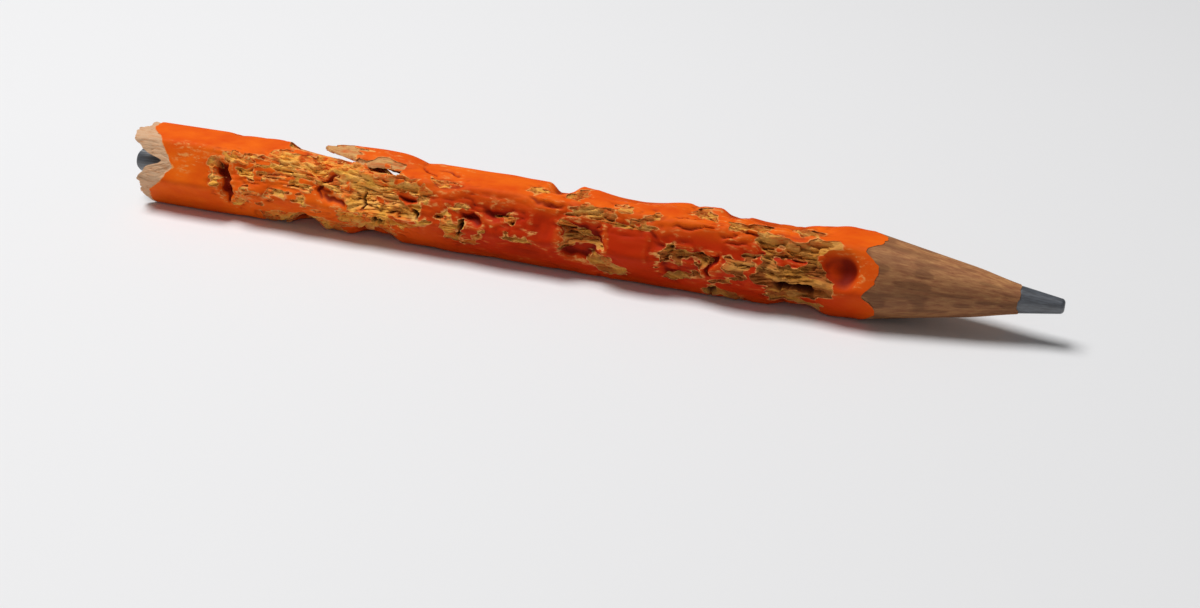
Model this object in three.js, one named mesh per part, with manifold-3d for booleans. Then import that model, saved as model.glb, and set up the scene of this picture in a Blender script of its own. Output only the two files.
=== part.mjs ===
// A chewed stub of a hexagonal pencil, lying on one of its flats.
// Two glued cedar slats hold a graphite lead, and a coat of orange lacquer covers the slats.
// The rear end is bitten off, the barrel is covered with tooth marks and the front end is sharpened.
// Millimetres and degrees. The pencil runs along +X, from the broken rear end to the point, and +Z is up.
//
// A place on the barrel is given as "along", the distance from the rear end of the lead,
// and "around", the angle from the top flat towards -Y.

import * as THREE from "three";
import { mergeVertices } from "three/addons/utils/BufferGeometryUtils.js";
import Module from "manifold-3d";

const wasm = await Module();
wasm.setup();

// Driving dimensions
const STUB_LENGTH = 88.7;
const ACROSS_FLATS = 7.0;
const CORNER_ROUNDING = 0.7;
const LEAD_DIAMETER = 2.3;
const LEAD_CLEARANCE = 0.05;
const LACQUER_THICKNESS = 0.15;
const LACQUER_CLEARANCE = 0.05;
const POINT_HALF_ANGLE = 10.65;
const POINT_RUNOUT = 3.9;
const LEAD_SHOWING = 3.5;
const WORN_TIP_DIAMETER = 1.3;
const WORN_TIP_ROUNDING = 0.35;
const LEAD_END_CHAMFER = 0.12;
const LEAST_WOOD_OVER_LEAD = 0.3;
const BREAK_FLOOR_ALONG = 4.0;

// Fineness of the faceted surfaces
const FACETS_AROUND = 24;
const FACET_SHIFT = 7;
const TURNED_FACETS = 36;
const TIP_ROUNDING_STEPS = 3;
const RING_SPACING = 1.55;
const TEAR_OUTLINE_POINTS = 12;
const TEAR_RAGGEDNESS = 0.1;

// The broken rear rim of the wood, and the rim where the lacquer starts: [around, along].
const BREAK_RIM = [
  [-180, 2.4],
  [-140, 1.6],
  [-100, 2.6],
  [-60, 1.5],
  [-20, 1.0],
  [10, 1.1],
  [30, 2.4],
  [50, 3.4],
  [60, 4.8],
  [80, 4.2],
  [90, 3.2],
  [110, 2.2],
  [140, 1.8],
  [160, 2.6],
];
const LACQUER_RIM = [
  [-180, 3.4],
  [-120, 3.0],
  [-60, 2.8],
  [0, 2.4],
  [20, 4.4],
  [60, 5.8],
  [90, 4.9],
  [110, 3.8],
  [140, 2.8],
];

// Tooth marks that press the lacquer and the wood in together.
const DENTS = [
  { along: 11.8, around: 80, length: 2.8, width: 5.4, depth: 1.2 },
  { along: 18.4, around: -28, length: 4.6, width: 4.8, depth: 0.9 },
  { along: 19.6, around: 150, length: 4.2, width: 4.4, depth: 0.9 },
  { along: 22.6, around: 64, length: 2.2, width: 5.0, depth: 0.6 },
  { along: 27.0, around: 150, length: 6.0, width: 4.0, depth: 0.6 },
  { along: 31.0, around: 60, length: 3.0, width: 2.8, depth: 0.8 },
  { along: 37.0, around: 72, length: 3.0, width: 3.0, depth: 0.9 },
  { along: 39.8, around: 62, length: 3.4, width: 3.0, depth: 0.5 },
  { along: 44.8, around: -28, length: 3.4, width: 5.2, depth: 0.8 },
  { along: 48.2, around: 86, length: 4.8, width: 6.4, depth: 0.9 },
  { along: 51.4, around: -30, length: 11.0, width: 4.4, depth: 0.6 },
  { along: 60.5, around: 82, length: 2.2, width: 3.4, depth: 0.6 },
  { along: 60.6, around: -28, length: 3.0, width: 4.8, depth: 0.4 },
  { along: 64.8, around: -28, length: 12.4, width: 4.6, depth: 0.6 },
  { along: 67.0, around: 148, length: 5.0, width: 3.6, depth: 0.4 },
  { along: 71.3, around: 67, length: 4.2, width: 4.2, depth: 1.2 },
];

// Places where the lacquer is torn off and the bare wood is gnawed hollow.
const TEARS = [
  { along: 10.4, around: 62, length: 1.3, width: 3.4, depth: 0.2 },
  { along: 13.6, around: 46, length: 2.6, width: 2.0, depth: 0.2 },
  { along: 18.9, around: 34, length: 7.4, width: 3.6, depth: 0.5 },
  { along: 20.8, around: -20, length: 3.4, width: 3.6, depth: 0.1 },
  { along: 17.3, around: 138, length: 3.4, width: 1.5, depth: 0.3 },
  { along: 26.8, around: 42, length: 8.0, width: 3.2, depth: 0.6 },
  { along: 28.4, around: 80, length: 7.6, width: 3.0, depth: 0.7 },
  { along: 26.8, around: 114, length: 5.0, width: 3.8, depth: 0.6 },
  { along: 32.2, around: 48, length: 4.4, width: 2.2, depth: 0.4 },
  { along: 35.2, around: 96, length: 1.5, width: 3.4, depth: 0.3 },
  { along: 38.2, around: 98, length: 1.8, width: 2.2, depth: 0.3 },
  { along: 42.0, around: 87, length: 2.6, width: 1.0, depth: 0.2 },
  { along: 50.2, around: 40, length: 8.0, width: 1.5, depth: 0.3 },
  { along: 48.6, around: 84, length: 3.2, width: 2.6, depth: 0.3 },
  { along: 50.6, around: 126, length: 3.2, width: 2.4, depth: 0.3 },
  { along: 57.3, around: 75, length: 4.6, width: 1.8, depth: 0.3 },
  { along: 57.6, around: 110, length: 3.2, width: 0.9, depth: 0.2 },
  { along: 58.9, around: 4, length: 1.6, width: 3.0, depth: 0.3 },
  { along: 62.1, around: 84, length: 1.6, width: 3.8, depth: 0.3 },
  { along: 67.0, around: 40, length: 6.6, width: 3.0, depth: 0.5 },
  { along: 67.2, around: 80, length: 5.4, width: 2.8, depth: 0.5 },
  { along: 66.8, around: 120, length: 4.4, width: 2.6, depth: 0.4 },
];

// Narrow, deep tooth cuts through the lacquer into the wood.
const CUTS = [
  { along: 36.4, around: 92, length: 0.8, width: 4.2, depth: 1.6 },
  { along: 66.9, around: 103, length: 3.6, width: 1.1, depth: 1.6 },
  { along: 58.0, around: 36, length: 3.2, width: 0.45, depth: 0.8 },
  { along: 27.6, around: 104, length: 0.9, width: 2.0, depth: 1.4 },
];

// The splinter at the top rear corner: it stands proud of the barrel and is split from it by two slots.
const SPLINTER = { along: 25.0, around: -28, length: 12.0, width: 4.6, lift: 0.6 };
// Outlines of the slots, seen square to the corner: [along, depth below the barrel's corner].
const SPLIT_SLOTS = [
  [
    [18.6, 1.0],
    [21.0, 0.95],
    [24.3, 1.3],
    [24.3, 1.05],
    [21.6, 0.55],
    [20.3, -1.0],
    [18.6, -1.0],
  ],
  [
    [26.0, 1.5],
    [26.3, 1.75],
    [29.7, 1.8],
    [29.9, 1.6],
    [29.4, 1.35],
    [26.6, 1.2],
  ],
];

// Sizes that follow from the driving dimensions
const { degToRad, euclideanModulo, lerp } = THREE.MathUtils;
const APOTHEM = ACROSS_FLATS / 2;
const CORNER_RADIUS = hexagonRadius(30);
const BORE_RADIUS = LEAD_DIAMETER / 2 + LEAD_CLEARANCE;
const POINT_SLOPE = Math.tan(degToRad(POINT_HALF_ANGLE));
const APEX_ALONG = STUB_LENGTH + POINT_RUNOUT;
const WOOD_FRONT_ALONG = STUB_LENGTH - LEAD_SHOWING;
const SHOULDER_ALONG = APEX_ALONG - APOTHEM / POINT_SLOPE;
const WOOD_INSET = LACQUER_THICKNESS + LACQUER_CLEARANCE;
const OVERSHOOT = ACROSS_FLATS;
const FIRST_RING_ALONG = Math.max(...LACQUER_RIM.map((point) => point[1])) + RING_SPACING / 2;

/** Distance from the axis to the outside of an unchewed barrel: a hexagon with rounded corners. */
function hexagonRadius(around) {
  const turn = degToRad(euclideanModulo(around + 30, 60) - 30);
  const arcCentre = new THREE.Vector2(APOTHEM - CORNER_ROUNDING, 0);
  arcCentre.y = arcCentre.x * Math.tan(Math.PI / 6) * Math.sign(turn);
  if (APOTHEM * Math.tan(Math.abs(turn)) <= Math.abs(arcCentre.y)) {
    return APOTHEM / Math.cos(turn);
  }
  const towards = arcCentre.x * Math.cos(turn) + arcCentre.y * Math.sin(turn);
  return towards + Math.sqrt(towards ** 2 - arcCentre.lengthSq() + CORNER_ROUNDING ** 2);
}

/** How far inside a mark's oval a place lies: 1 at its centre, 0 on its edge and outside it. */
function insideOval(mark, along, around, power = 2) {
  const turn = euclideanModulo(around - mark.around + 180, 360) - 180;
  const u = Math.abs(along - mark.along) / (mark.length / 2);
  const v = Math.abs(degToRad(turn) * APOTHEM) / (mark.width / 2);
  return Math.max(0, 1 - u ** power - v ** power);
}

/** Depth of all marks of a list at a place. */
function depthOf(marks, along, around) {
  return marks.reduce((sum, mark) => sum + mark.depth * insideOval(mark, along, around), 0);
}

/** Outer radius of the lacquered barrel, with its dents and the lifted splinter. */
function lacquerRadius(along, around) {
  const lift = SPLINTER.lift * insideOval(SPLINTER, along, around, 4);
  return hexagonRadius(around) + lift - depthOf(DENTS, along, around);
}

/** Outer radius of the wood. The teeth stop short of the hard lead. */
function woodRadius(along, around) {
  const radius = lacquerRadius(along, around) - WOOD_INSET - depthOf(TEARS, along, around);
  return Math.max(radius, BORE_RADIUS + LEAST_WOOD_OVER_LEAD);
}

/** Where a rim runs at an angle, straight between its points. */
function rimAlong(rim, around) {
  const angle = euclideanModulo(around + 180, 360) - 180;
  const next = rim.findIndex((point) => point[0] > angle);
  const [endAngle, endAlong] = next < 0 ? [rim[0][0] + 360, rim[0][1]] : rim[next];
  const [startAngle, startAlong] = rim[next < 0 ? rim.length - 1 : next - 1];
  return lerp(startAlong, endAlong, (angle - startAngle) / (endAngle - startAngle));
}

/** A closed three.js geometry as a solid for joining and cutting. */
function solidOf(geometry) {
  const bare = geometry.clone();
  bare.deleteAttribute("normal");
  bare.deleteAttribute("uv");
  const merged = mergeVertices(bare, 1e-5);
  const mesh = new wasm.Mesh({
    numProp: 3,
    vertProperties: new Float32Array(merged.attributes.position.array),
    triVerts: new Uint32Array(merged.index.array),
  });
  return new wasm.Manifold(mesh);
}

/** A solid as a three.js geometry. */
function geometryOf(solid) {
  const mesh = solid.getMesh();
  const geometry = new THREE.BufferGeometry();
  geometry.setAttribute("position", new THREE.BufferAttribute(mesh.vertProperties, 3));
  geometry.setIndex(new THREE.BufferAttribute(mesh.triVerts, 1));
  geometry.computeVertexNormals();
  return geometry;
}

/**
 * A barrel from a rear rim to the apex of the point: rings of facets set to a radius.
 * The facets' edges are shifted towards the corners, so that the flats stay nearly as wide as they are.
 */
function barrel(rim, rimShift, radiusAt) {
  const rings = Math.round((SHOULDER_ALONG - FIRST_RING_ALONG) / RING_SPACING);
  const segments = rings + 2;
  const geometry = new THREE.CylinderGeometry(1, 1, 1, FACETS_AROUND, segments);
  const position = geometry.attributes.position;
  for (let i = 0; i < position.count; i += 1) {
    const evenly = THREE.MathUtils.radToDeg(Math.atan2(position.getX(i), position.getZ(i)));
    const around = evenly + FACET_SHIFT * Math.sin(degToRad(6 * evenly));
    const isRim = Math.hypot(position.getX(i), position.getZ(i)) > 0.5;
    const ring = Math.round((position.getY(i) + 0.5) * segments);
    let along = lerp(FIRST_RING_ALONG, SHOULDER_ALONG, (ring - 1) / rings);
    if (ring === 0) {
      along = (isRim ? rimAlong(rim, around) : BREAK_FLOOR_ALONG) + rimShift;
    } else if (ring === segments) {
      along = APEX_ALONG;
    }
    const radius = isRim ? radiusAt(along, around) : 0;
    const angle = degToRad(around);
    position.setXYZ(i, along, -radius * Math.sin(angle), radius * Math.cos(angle));
  }
  return solidOf(geometry);
}

/** A solid of revolution about the pencil's axis, from [radius, along] points. */
function turned(points) {
  const profile = points.map(([radius, along]) => new THREE.Vector2(radius, along));
  const geometry = new THREE.LatheGeometry(profile, TURNED_FACETS);
  geometry.rotateZ(-Math.PI / 2);
  return geometry;
}

/** What a sharpener leaves: everything behind the cone of the point, which stops short at the lead. */
function sharpenedEnvelope() {
  const wide = CORNER_RADIUS + OVERSHOOT;
  const points = [
    [0, -OVERSHOOT],
    [wide, -OVERSHOOT],
    [wide, APEX_ALONG - wide / POINT_SLOPE],
    [(APEX_ALONG - WOOD_FRONT_ALONG) * POINT_SLOPE, WOOD_FRONT_ALONG],
    [0, WOOD_FRONT_ALONG],
  ];
  return solidOf(turned(points));
}

/** The bore that the lead lies in. */
function leadBore() {
  const points = [
    [0, -OVERSHOOT],
    [BORE_RADIUS, -OVERSHOOT],
    [BORE_RADIUS, APEX_ALONG + OVERSHOOT],
    [0, APEX_ALONG + OVERSHOOT],
  ];
  return solidOf(turned(points));
}

/** A ragged oval plug that cuts a mark's outline out of the barrel, down to a radius. */
function ovalPlug(mark, floorRadius) {
  const halfTurn = Math.min(mark.width / 2 / APOTHEM, Math.PI / 2);
  const halfWidth = CORNER_RADIUS * Math.sin(halfTurn);
  const outline = new THREE.Shape();
  for (let i = 0; i < TEAR_OUTLINE_POINTS; i += 1) {
    const angle = (i / TEAR_OUTLINE_POINTS) * 2 * Math.PI;
    const wobble = Math.sin(3 * angle + mark.along) + Math.sin(4 * angle + 2 * mark.along);
    const reach = 1 + TEAR_RAGGEDNESS * wobble;
    const x = (mark.length / 2) * reach * Math.cos(angle);
    const y = halfWidth * reach * Math.sin(angle);
    if (i === 0) {
      outline.moveTo(x, y);
    } else {
      outline.lineTo(x, y);
    }
  }
  const depth = CORNER_RADIUS + OVERSHOOT - floorRadius;
  const geometry = new THREE.ExtrudeGeometry(outline, { depth, bevelEnabled: false });
  geometry.translate(mark.along, 0, floorRadius);
  geometry.rotateX(degToRad(mark.around));
  return solidOf(geometry);
}

/** A slot that splits the splinter from the barrel, right through and square to the corner. */
function splitSlot(outline) {
  const points = outline.map(([along, depth]) => new THREE.Vector2(along, CORNER_RADIUS - depth));
  const through = 2 * (CORNER_RADIUS + OVERSHOOT);
  const shape = new THREE.Shape(points);
  const geometry = new THREE.ExtrudeGeometry(shape, { depth: through, bevelEnabled: false });
  geometry.translate(0, 0, -through / 2);
  geometry.rotateX(Math.PI / 2 + degToRad(SPLINTER.around));
  return solidOf(geometry);
}

/** One half of space, above or below the glue line through two opposite corners of the hexagon. */
function slatSide(side) {
  const size = 2 * (STUB_LENGTH + OVERSHOOT);
  const geometry = new THREE.BoxGeometry(size, size, size);
  geometry.translate(0, 0, (side * size) / 2);
  return solidOf(geometry);
}

const cutTogether = (solid, cutters) => cutters.reduce((rest, cutter) => rest.subtract(cutter), solid);
const toothCuts = CUTS.map((cut) => ovalPlug(cut, CORNER_RADIUS - cut.depth));
const slots = SPLIT_SLOTS.map(splitSlot);
const envelope = sharpenedEnvelope();

/** The sharpened and chewed wood, still in one piece. */
function casing() {
  const wood = barrel(BREAK_RIM, 0, woodRadius).intersect(envelope);
  return cutTogether(wood, [leadBore(), ...toothCuts, ...slots]);
}

/** The lacquer that still holds together round the barrel; torn places are open and loose flakes are gone. */
function lacquerCoat() {
  const outside = barrel(LACQUER_RIM, 0, lacquerRadius).intersect(envelope);
  const inside = barrel(LACQUER_RIM, -OVERSHOOT, (along, around) => {
    return lacquerRadius(along, around) - LACQUER_THICKNESS;
  });
  const tears = TEARS.map((tear) => ovalPlug(tear, BORE_RADIUS));
  const coat = cutTogether(outside.subtract(inside), [...tears, ...toothCuts, ...slots]);
  const pieces = coat.decompose();
  return pieces.reduce((largest, piece) => (piece.volume() > largest.volume() ? piece : largest));
}

/** The lead: a rod with a broken rear end and a point worn round. */
function lead() {
  const radius = LEAD_DIAMETER / 2;
  const points = [
    [0, 0],
    [radius - LEAD_END_CHAMFER, 0],
    [radius, LEAD_END_CHAMFER],
    [radius, WOOD_FRONT_ALONG],
  ];
  for (let step = 0; step <= TIP_ROUNDING_STEPS; step += 1) {
    const angle = ((step / TIP_ROUNDING_STEPS) * Math.PI) / 2;
    const inset = WORN_TIP_ROUNDING * (1 - Math.cos(angle));
    const ahead = WORN_TIP_ROUNDING * (1 - Math.sin(angle));
    points.push([WORN_TIP_DIAMETER / 2 - inset, STUB_LENGTH - ahead]);
  }
  points.push([0, STUB_LENGTH]);
  return turned(points);
}

const cedar = new THREE.MeshStandardMaterial({ color: 0xc49a5a, roughness: 0.8, metalness: 0 });
const graphite = new THREE.MeshStandardMaterial({ color: 0x3b3f45, roughness: 0.45, metalness: 0.2 });
const orangeLacquer = new THREE.MeshStandardMaterial({ color: 0xe2571a, roughness: 0.3, metalness: 0 });

function piece(name, geometry, material) {
  const mesh = new THREE.Mesh(geometry, material);
  mesh.name = name;
  return mesh;
}

const wood = casing();
const pencilStub = new THREE.Group();
pencilStub.add(
  piece("upper_slat", geometryOf(wood.intersect(slatSide(1))), cedar),
  piece("lower_slat", geometryOf(wood.intersect(slatSide(-1))), cedar),
  piece("graphite_lead", lead(), graphite),
  piece("lacquer_coat", geometryOf(lacquerCoat()), orangeLacquer),
);
// The origin is under the middle of the stub, on the surface that its bottom flat lies on.
pencilStub.position.set(-STUB_LENGTH / 2, 0, APOTHEM);

export default pencilStub;
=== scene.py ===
"""A chewed stub of a hexagonal pencil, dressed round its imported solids.

A place on the barrel is given as in the solids: along is the distance in millimetres from the rear end of the
lead, and around is the angle in degrees from the top flat towards -Y. Meshes are in metres, in the frame.
"""

from __future__ import annotations

import logging
import math
from dataclasses import dataclass, field
from enum import Enum
from typing import Any, Sequence

import bmesh
import bpy
import numpy as np
from mathutils import Matrix, Vector

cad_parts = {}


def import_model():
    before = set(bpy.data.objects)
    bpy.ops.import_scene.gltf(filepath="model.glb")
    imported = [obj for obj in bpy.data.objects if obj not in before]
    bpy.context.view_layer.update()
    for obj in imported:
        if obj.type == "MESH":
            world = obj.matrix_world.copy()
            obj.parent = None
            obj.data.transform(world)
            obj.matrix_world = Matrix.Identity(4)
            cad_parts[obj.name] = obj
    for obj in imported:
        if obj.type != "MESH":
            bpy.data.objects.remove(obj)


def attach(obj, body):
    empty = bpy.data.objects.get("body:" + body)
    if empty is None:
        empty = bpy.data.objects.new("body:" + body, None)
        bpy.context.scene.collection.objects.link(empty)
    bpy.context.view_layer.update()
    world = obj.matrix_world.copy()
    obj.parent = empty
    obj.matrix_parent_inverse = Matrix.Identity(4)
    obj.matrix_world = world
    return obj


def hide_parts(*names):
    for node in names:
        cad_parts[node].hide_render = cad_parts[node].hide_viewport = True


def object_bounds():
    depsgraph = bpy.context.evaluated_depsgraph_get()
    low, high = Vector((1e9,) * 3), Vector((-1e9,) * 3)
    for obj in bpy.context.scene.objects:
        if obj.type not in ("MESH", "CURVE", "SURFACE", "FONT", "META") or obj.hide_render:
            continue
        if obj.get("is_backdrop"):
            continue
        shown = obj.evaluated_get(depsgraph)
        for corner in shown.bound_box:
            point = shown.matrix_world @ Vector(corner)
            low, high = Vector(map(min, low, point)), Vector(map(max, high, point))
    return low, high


LOG = logging.getLogger("pencil_stub")
MM = 0.001
# Vertices closer than this, in metres, are merged along a seam.
SEAM_WIDTH = 1e-8
BODY = "root"

ACROSS_FLATS = 7.0
HALF_FLATS = ACROSS_FLATS / 2
CORNER_ROUNDING = 0.7
GIRTH = 2 * math.pi * HALF_FLATS
LEAD_RADIUS = 1.15
BORE_RADIUS = LEAD_RADIUS + 0.05
LACQUER_THICKNESS = 0.17
LACQUER_EDGE = 0.05
POINT_SLOPE = math.tan(math.radians(10.65))
POINT_RUNOUT = 3.9
WOOD_FRONT_ALONG = 85.2
WORN_TIP_RADIUS = 0.65
WORN_TIP_ROUNDING = 0.35
LEAST_WOOD_OVER_LEAD = 0.2
BREAK_FLOOR_ALONG = 4.0
# The middle of the near side, and over which angles from it the crumpling fades out.
NEAR_SIDE = 57.0
NEAR_SIDE_REACH = (125.0, 95.0)
# How dense the columns are on the far side, as a share of the near side's, and where that changes.
FAR_SIDE_DENSITY = 0.45
DENSITY_REACH = (125.0, 100.0)
# The side that is painted darker as painted shade, and over which angles from it the painted shade fades out.
SHADED_SIDE = 95.0
SHADED_SIDE_REACH = (75.0, 35.0)
# How far above its surroundings, as a negative value, and how far below them a place is noted to lie at most.
HOLLOW_LIMITS = (-0.3, 0.6)
# Stands for a distance in millimetres that is too large to matter.
FAR = 9.0
# Stands for the radius of a flat where there is none.
NO_FLAT = 99.0
# The sockets of a Mix node for colours go by number, because their names repeat.
MIX_SHARE = 0
MIX_BELOW = 6
MIX_ABOVE = 7
MIX_RESULT = 2

Array = np.ndarray
Points = tuple[tuple[float, float], ...]


def smooth_step(value: Array, low: float, high: float) -> Array:
    """Rises smoothly from 0 at low to 1 at high; low may be above high.

    Args:
        value: Where to read the step.
        low: Where it is still 0.
        high: Where it has reached 1.

    Returns:
        The step at each value.
    """
    share = np.clip((value - low) / (high - low), 0.0, 1.0)
    return share * share * (3.0 - 2.0 * share)


def blurred(table: Array, rows: int, columns: int) -> Array:
    """Averages a table over a block round each entry.

    Args:
        table: Values by row and column.
        rows: How many rows to take in on each side.
        columns: How many columns to take in on each side.

    Returns:
        The averages.
    """
    for axis, reach in ((0, rows), (1, columns)):
        pad = [(0, 0), (0, 0)]
        pad[axis] = (reach + 1, reach)
        total = np.cumsum(np.pad(table, pad, mode="edge"), axis=axis)
        count = table.shape[axis]
        span = 2 * reach + 1
        table = (np.take(total, range(span, span + count), axis) - np.take(total, range(count), axis)) / span
    return table


def turned_from(around: Array, middle: float) -> Array:
    """Angle from a middle to places round the barrel, from -180 to 180 degrees."""
    return (around - middle + 180.0) % 360.0 - 180.0


def from_near_side(around: Array) -> Array:
    """Angle between places round the barrel and the middle of its near side, in degrees."""
    return np.abs(turned_from(around, NEAR_SIDE))


def side_shade(around: Array) -> Array:
    """How much places round the barrel lie on the side that is painted darker as painted shade, from 0 to 1.
    """
    return smooth_step(np.abs(around - SHADED_SIDE), *SHADED_SIDE_REACH)


def below_surroundings(relief: Array, rows: int, columns: int) -> Array:
    """How far places of a surface lie below the average round them, in millimetres."""
    return np.clip(blurred(relief, rows, columns) - relief, *HOLLOW_LIMITS)


def angles_round(start: float, end: float, count: int) -> Array:
    """Angles round the barrel, closer together on the near side with its finer marks.

    Args:
        start: The first angle.
        end: The last angle.
        count: How many steps to take.

    Returns:
        The angles.
    """
    even = np.linspace(start, end, 721)
    fine = smooth_step(from_near_side(even), *DENSITY_REACH)
    weight = FAR_SIDE_DENSITY + (1.0 - FAR_SIDE_DENSITY) * fine
    total = np.concatenate([[0.0], np.cumsum((weight[1:] + weight[:-1]) / 2)])
    return np.interp(np.linspace(0.0, total[-1], count + 1), total, even)


@dataclass(frozen=True)
class Mark:
    """An oval mark on the barrel, in millimetres and degrees.

    The wall is the share of the way from the outline to the middle over which the mark reaches its depth.
    """

    along: float
    around: float
    length: float
    width: float
    depth: float
    wall: float = 0.65

    def reach(self, along: Array, around: Array) -> Array:
        """Distance from the mark's middle, as a share of the way to its outline.

        Args:
            along: Places along the barrel.
            around: Places around the barrel.

        Returns:
            The share: 0 in the middle and 1 on the outline.
        """
        across = np.radians(turned_from(around, self.around)) * HALF_FLATS
        return np.hypot((along - self.along) / (self.length / 2), across / (self.width / 2))

    def inside(self, along: Array, around: Array) -> Array:
        """Distance inside the mark's outline in millimetres, negative outside it."""
        return (1.0 - self.reach(along, around)) * min(self.length, self.width) / 2

    def hollow(self, along: Array, around: Array) -> Array:
        """Depth of the mark at each place, in millimetres."""
        return self.depth * smooth_step(self.reach(along, around), 1.0, 1.0 - self.wall)


@dataclass(frozen=True)
class Drawn:
    """A line of (along, around) points on the unrolled barrel.

    The depth is that of what it bounds or follows, and the wall is the width of its sloping side.
    """

    depth: float
    wall: float
    points: Points
    closed = False
    margin = 1.3

    def distance(self, along: Array, around: Array) -> Array:
        """Distance from the line in millimetres, negative outside a closed one.

        Args:
            along: Places along the barrel.
            around: Places around the barrel, in an array of the same shape.

        Returns:
            The distance, or minus or plus FAR where the line is well away.
        """
        corners = np.array(self.points, float)
        middle = corners[:, 1].mean()
        corners[:, 1] = np.radians(corners[:, 1] - middle) * HALF_FLATS
        across = np.radians(turned_from(around, middle)) * HALF_FLATS
        low, high = corners.min(axis=0) - self.margin, corners.max(axis=0) + self.margin
        near = (along > low[0]) & (along < high[0]) & (across > low[1]) & (across < high[1])
        ahead, aside = along[near], across[near]
        squared = np.full(ahead.shape, FAR**2)
        inside = np.zeros(ahead.shape, bool)
        for number in range(0 if self.closed else 1, len(corners)):
            start, step = corners[number - 1], corners[number] - corners[number - 1]
            share = ((ahead - start[0]) * step[0] + (aside - start[1]) * step[1]) / (step @ step)
            share = np.clip(share, 0.0, 1.0)
            gap = (ahead - start[0] - share * step[0]) ** 2 + (aside - start[1] - share * step[1]) ** 2
            squared = np.minimum(squared, gap)
            crosses = (start[1] > aside) != (corners[number][1] > aside)
            slope = step[0] / step[1] if step[1] else 0.0
            inside ^= crosses & (ahead < start[0] + (aside - start[1]) * slope)
        result = np.full(along.shape, -FAR if self.closed else FAR)
        distance = np.sqrt(squared)
        result[near] = np.where(inside, distance, -distance) if self.closed else distance
        return result


class Patch(Drawn):
    """A closed outline, such as the edge of a tear or of a bite."""

    closed = True

    def inside(self, along: Array, around: Array) -> Array:
        """Distance inside the outline in millimetres, negative outside it."""
        return self.distance(along, around)

    def hollow(self, along: Array, around: Array) -> Array:
        """Depth at each place, in millimetres."""
        return self.depth * smooth_step(self.distance(along, around), 0.0, self.wall)


class Stroke(Drawn):
    """An open line, such as a crease or a scrape; its wall is half its width."""

    def closeness(self, along: Array, around: Array) -> Array:
        """How close to the line places are.

        Args:
            along: Places along the barrel.
            around: Places around the barrel.

        Returns:
            1 on the line, falling to 0 at its sides and towards its ends.
        """
        start, end = np.array(self.points[0]), np.array(self.points[-1])
        degree = math.radians(HALF_FLATS)
        step = (end - start) * (1.0, degree)
        share = ((along - start[0]) * step[0] + (around - start[1]) * degree * step[1]) / (step @ step)
        ends = smooth_step(share, -0.1, 0.3) * smooth_step(share, 1.1, 0.7)
        return ends * smooth_step(self.distance(along, around), self.wall, 0.0)

    def hollow(self, along: Array, around: Array) -> Array:
        """Depth at each place, in millimetres."""
        return self.depth * self.closeness(along, around)


# The broken rear rim of the wood, and the rim where the lacquer starts: around and along.
BREAK_RIM: Points = (
    (-180, 2.4), (-140, 1.6), (-100, 2.6), (-60, 1.5), (-25, 1.0), (5, 0.9), (18, 1.0), (26, 1.5),
    (36, 1.7), (46, 2.1), (53, 3.2), (60, 4.5), (66, 4.2), (73, 3.2), (82, 2.9), (90, 2.4), (100, 2.5),
    (112, 2.0), (128, 1.6), (140, 1.8), (160, 2.6), (180, 2.4),
)
LACQUER_RIM: Points = (
    (-180, 3.4), (-120, 3.0), (-60, 2.6), (-20, 1.9), (0, 2.2), (10, 3.0), (22, 3.9), (40, 4.9), (52, 5.5),
    (68, 6.1), (80, 5.5), (95, 4.7), (105, 3.9), (115, 3.0), (140, 2.4), (160, 3.0), (180, 3.4),
)

# Rounded tooth marks that press the lacquer and the wood in together.
DENTS = (
    Mark(19.6, 150, 4.2, 4.4, 0.9),
    Mark(27.0, 150, 6.0, 4.0, 0.6),
    Mark(34.2, 24, 4.0, 3.0, 0.3, 0.9),
    Mark(44.8, -28, 3.4, 5.8, 0.8, 0.8),
    Mark(44.5, 70, 3.2, 4.4, 0.3, 0.8),
    Mark(42.5, 115, 5.5, 3.0, 0.4, 0.8),
    Mark(51.4, -30, 11.0, 4.4, 0.6, 0.9),
    Mark(60.6, -28, 3.0, 4.8, 0.4, 0.8),
    Mark(64.8, -28, 12.4, 4.6, 0.6, 0.85),
    Mark(67.0, 148, 5.0, 3.6, 0.4),
    Mark(70.8, 64, 3.9, 4.0, 0.55, 0.5),
    Mark(71.6, 67, 4.8, 4.8, 0.35, 0.9),
    Mark(71.2, 62, 2.8, 3.2, 0.3, 0.9),
)

# Panels of lacquer that the teeth left nearly flat.
PANELS = (
    Mark(39.5, 10, 9.0, 3.6, 1.0),
    Mark(52.8, 88, 6.0, 5.0, 1.0),
    Mark(44.5, 72, 3.6, 4.4, 1.0),
    Mark(32.5, 122, 6.5, 3.6, 1.0),
    Mark(55.5, 50, 6.0, 2.4, 1.0),
    Mark(12.0, 0, 9.0, 3.4, 1.0),
    Mark(11.0, 130, 8.0, 4.0, 1.0),
    Mark(62.0, 46, 4.0, 2.4, 1.0),
)

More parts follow.
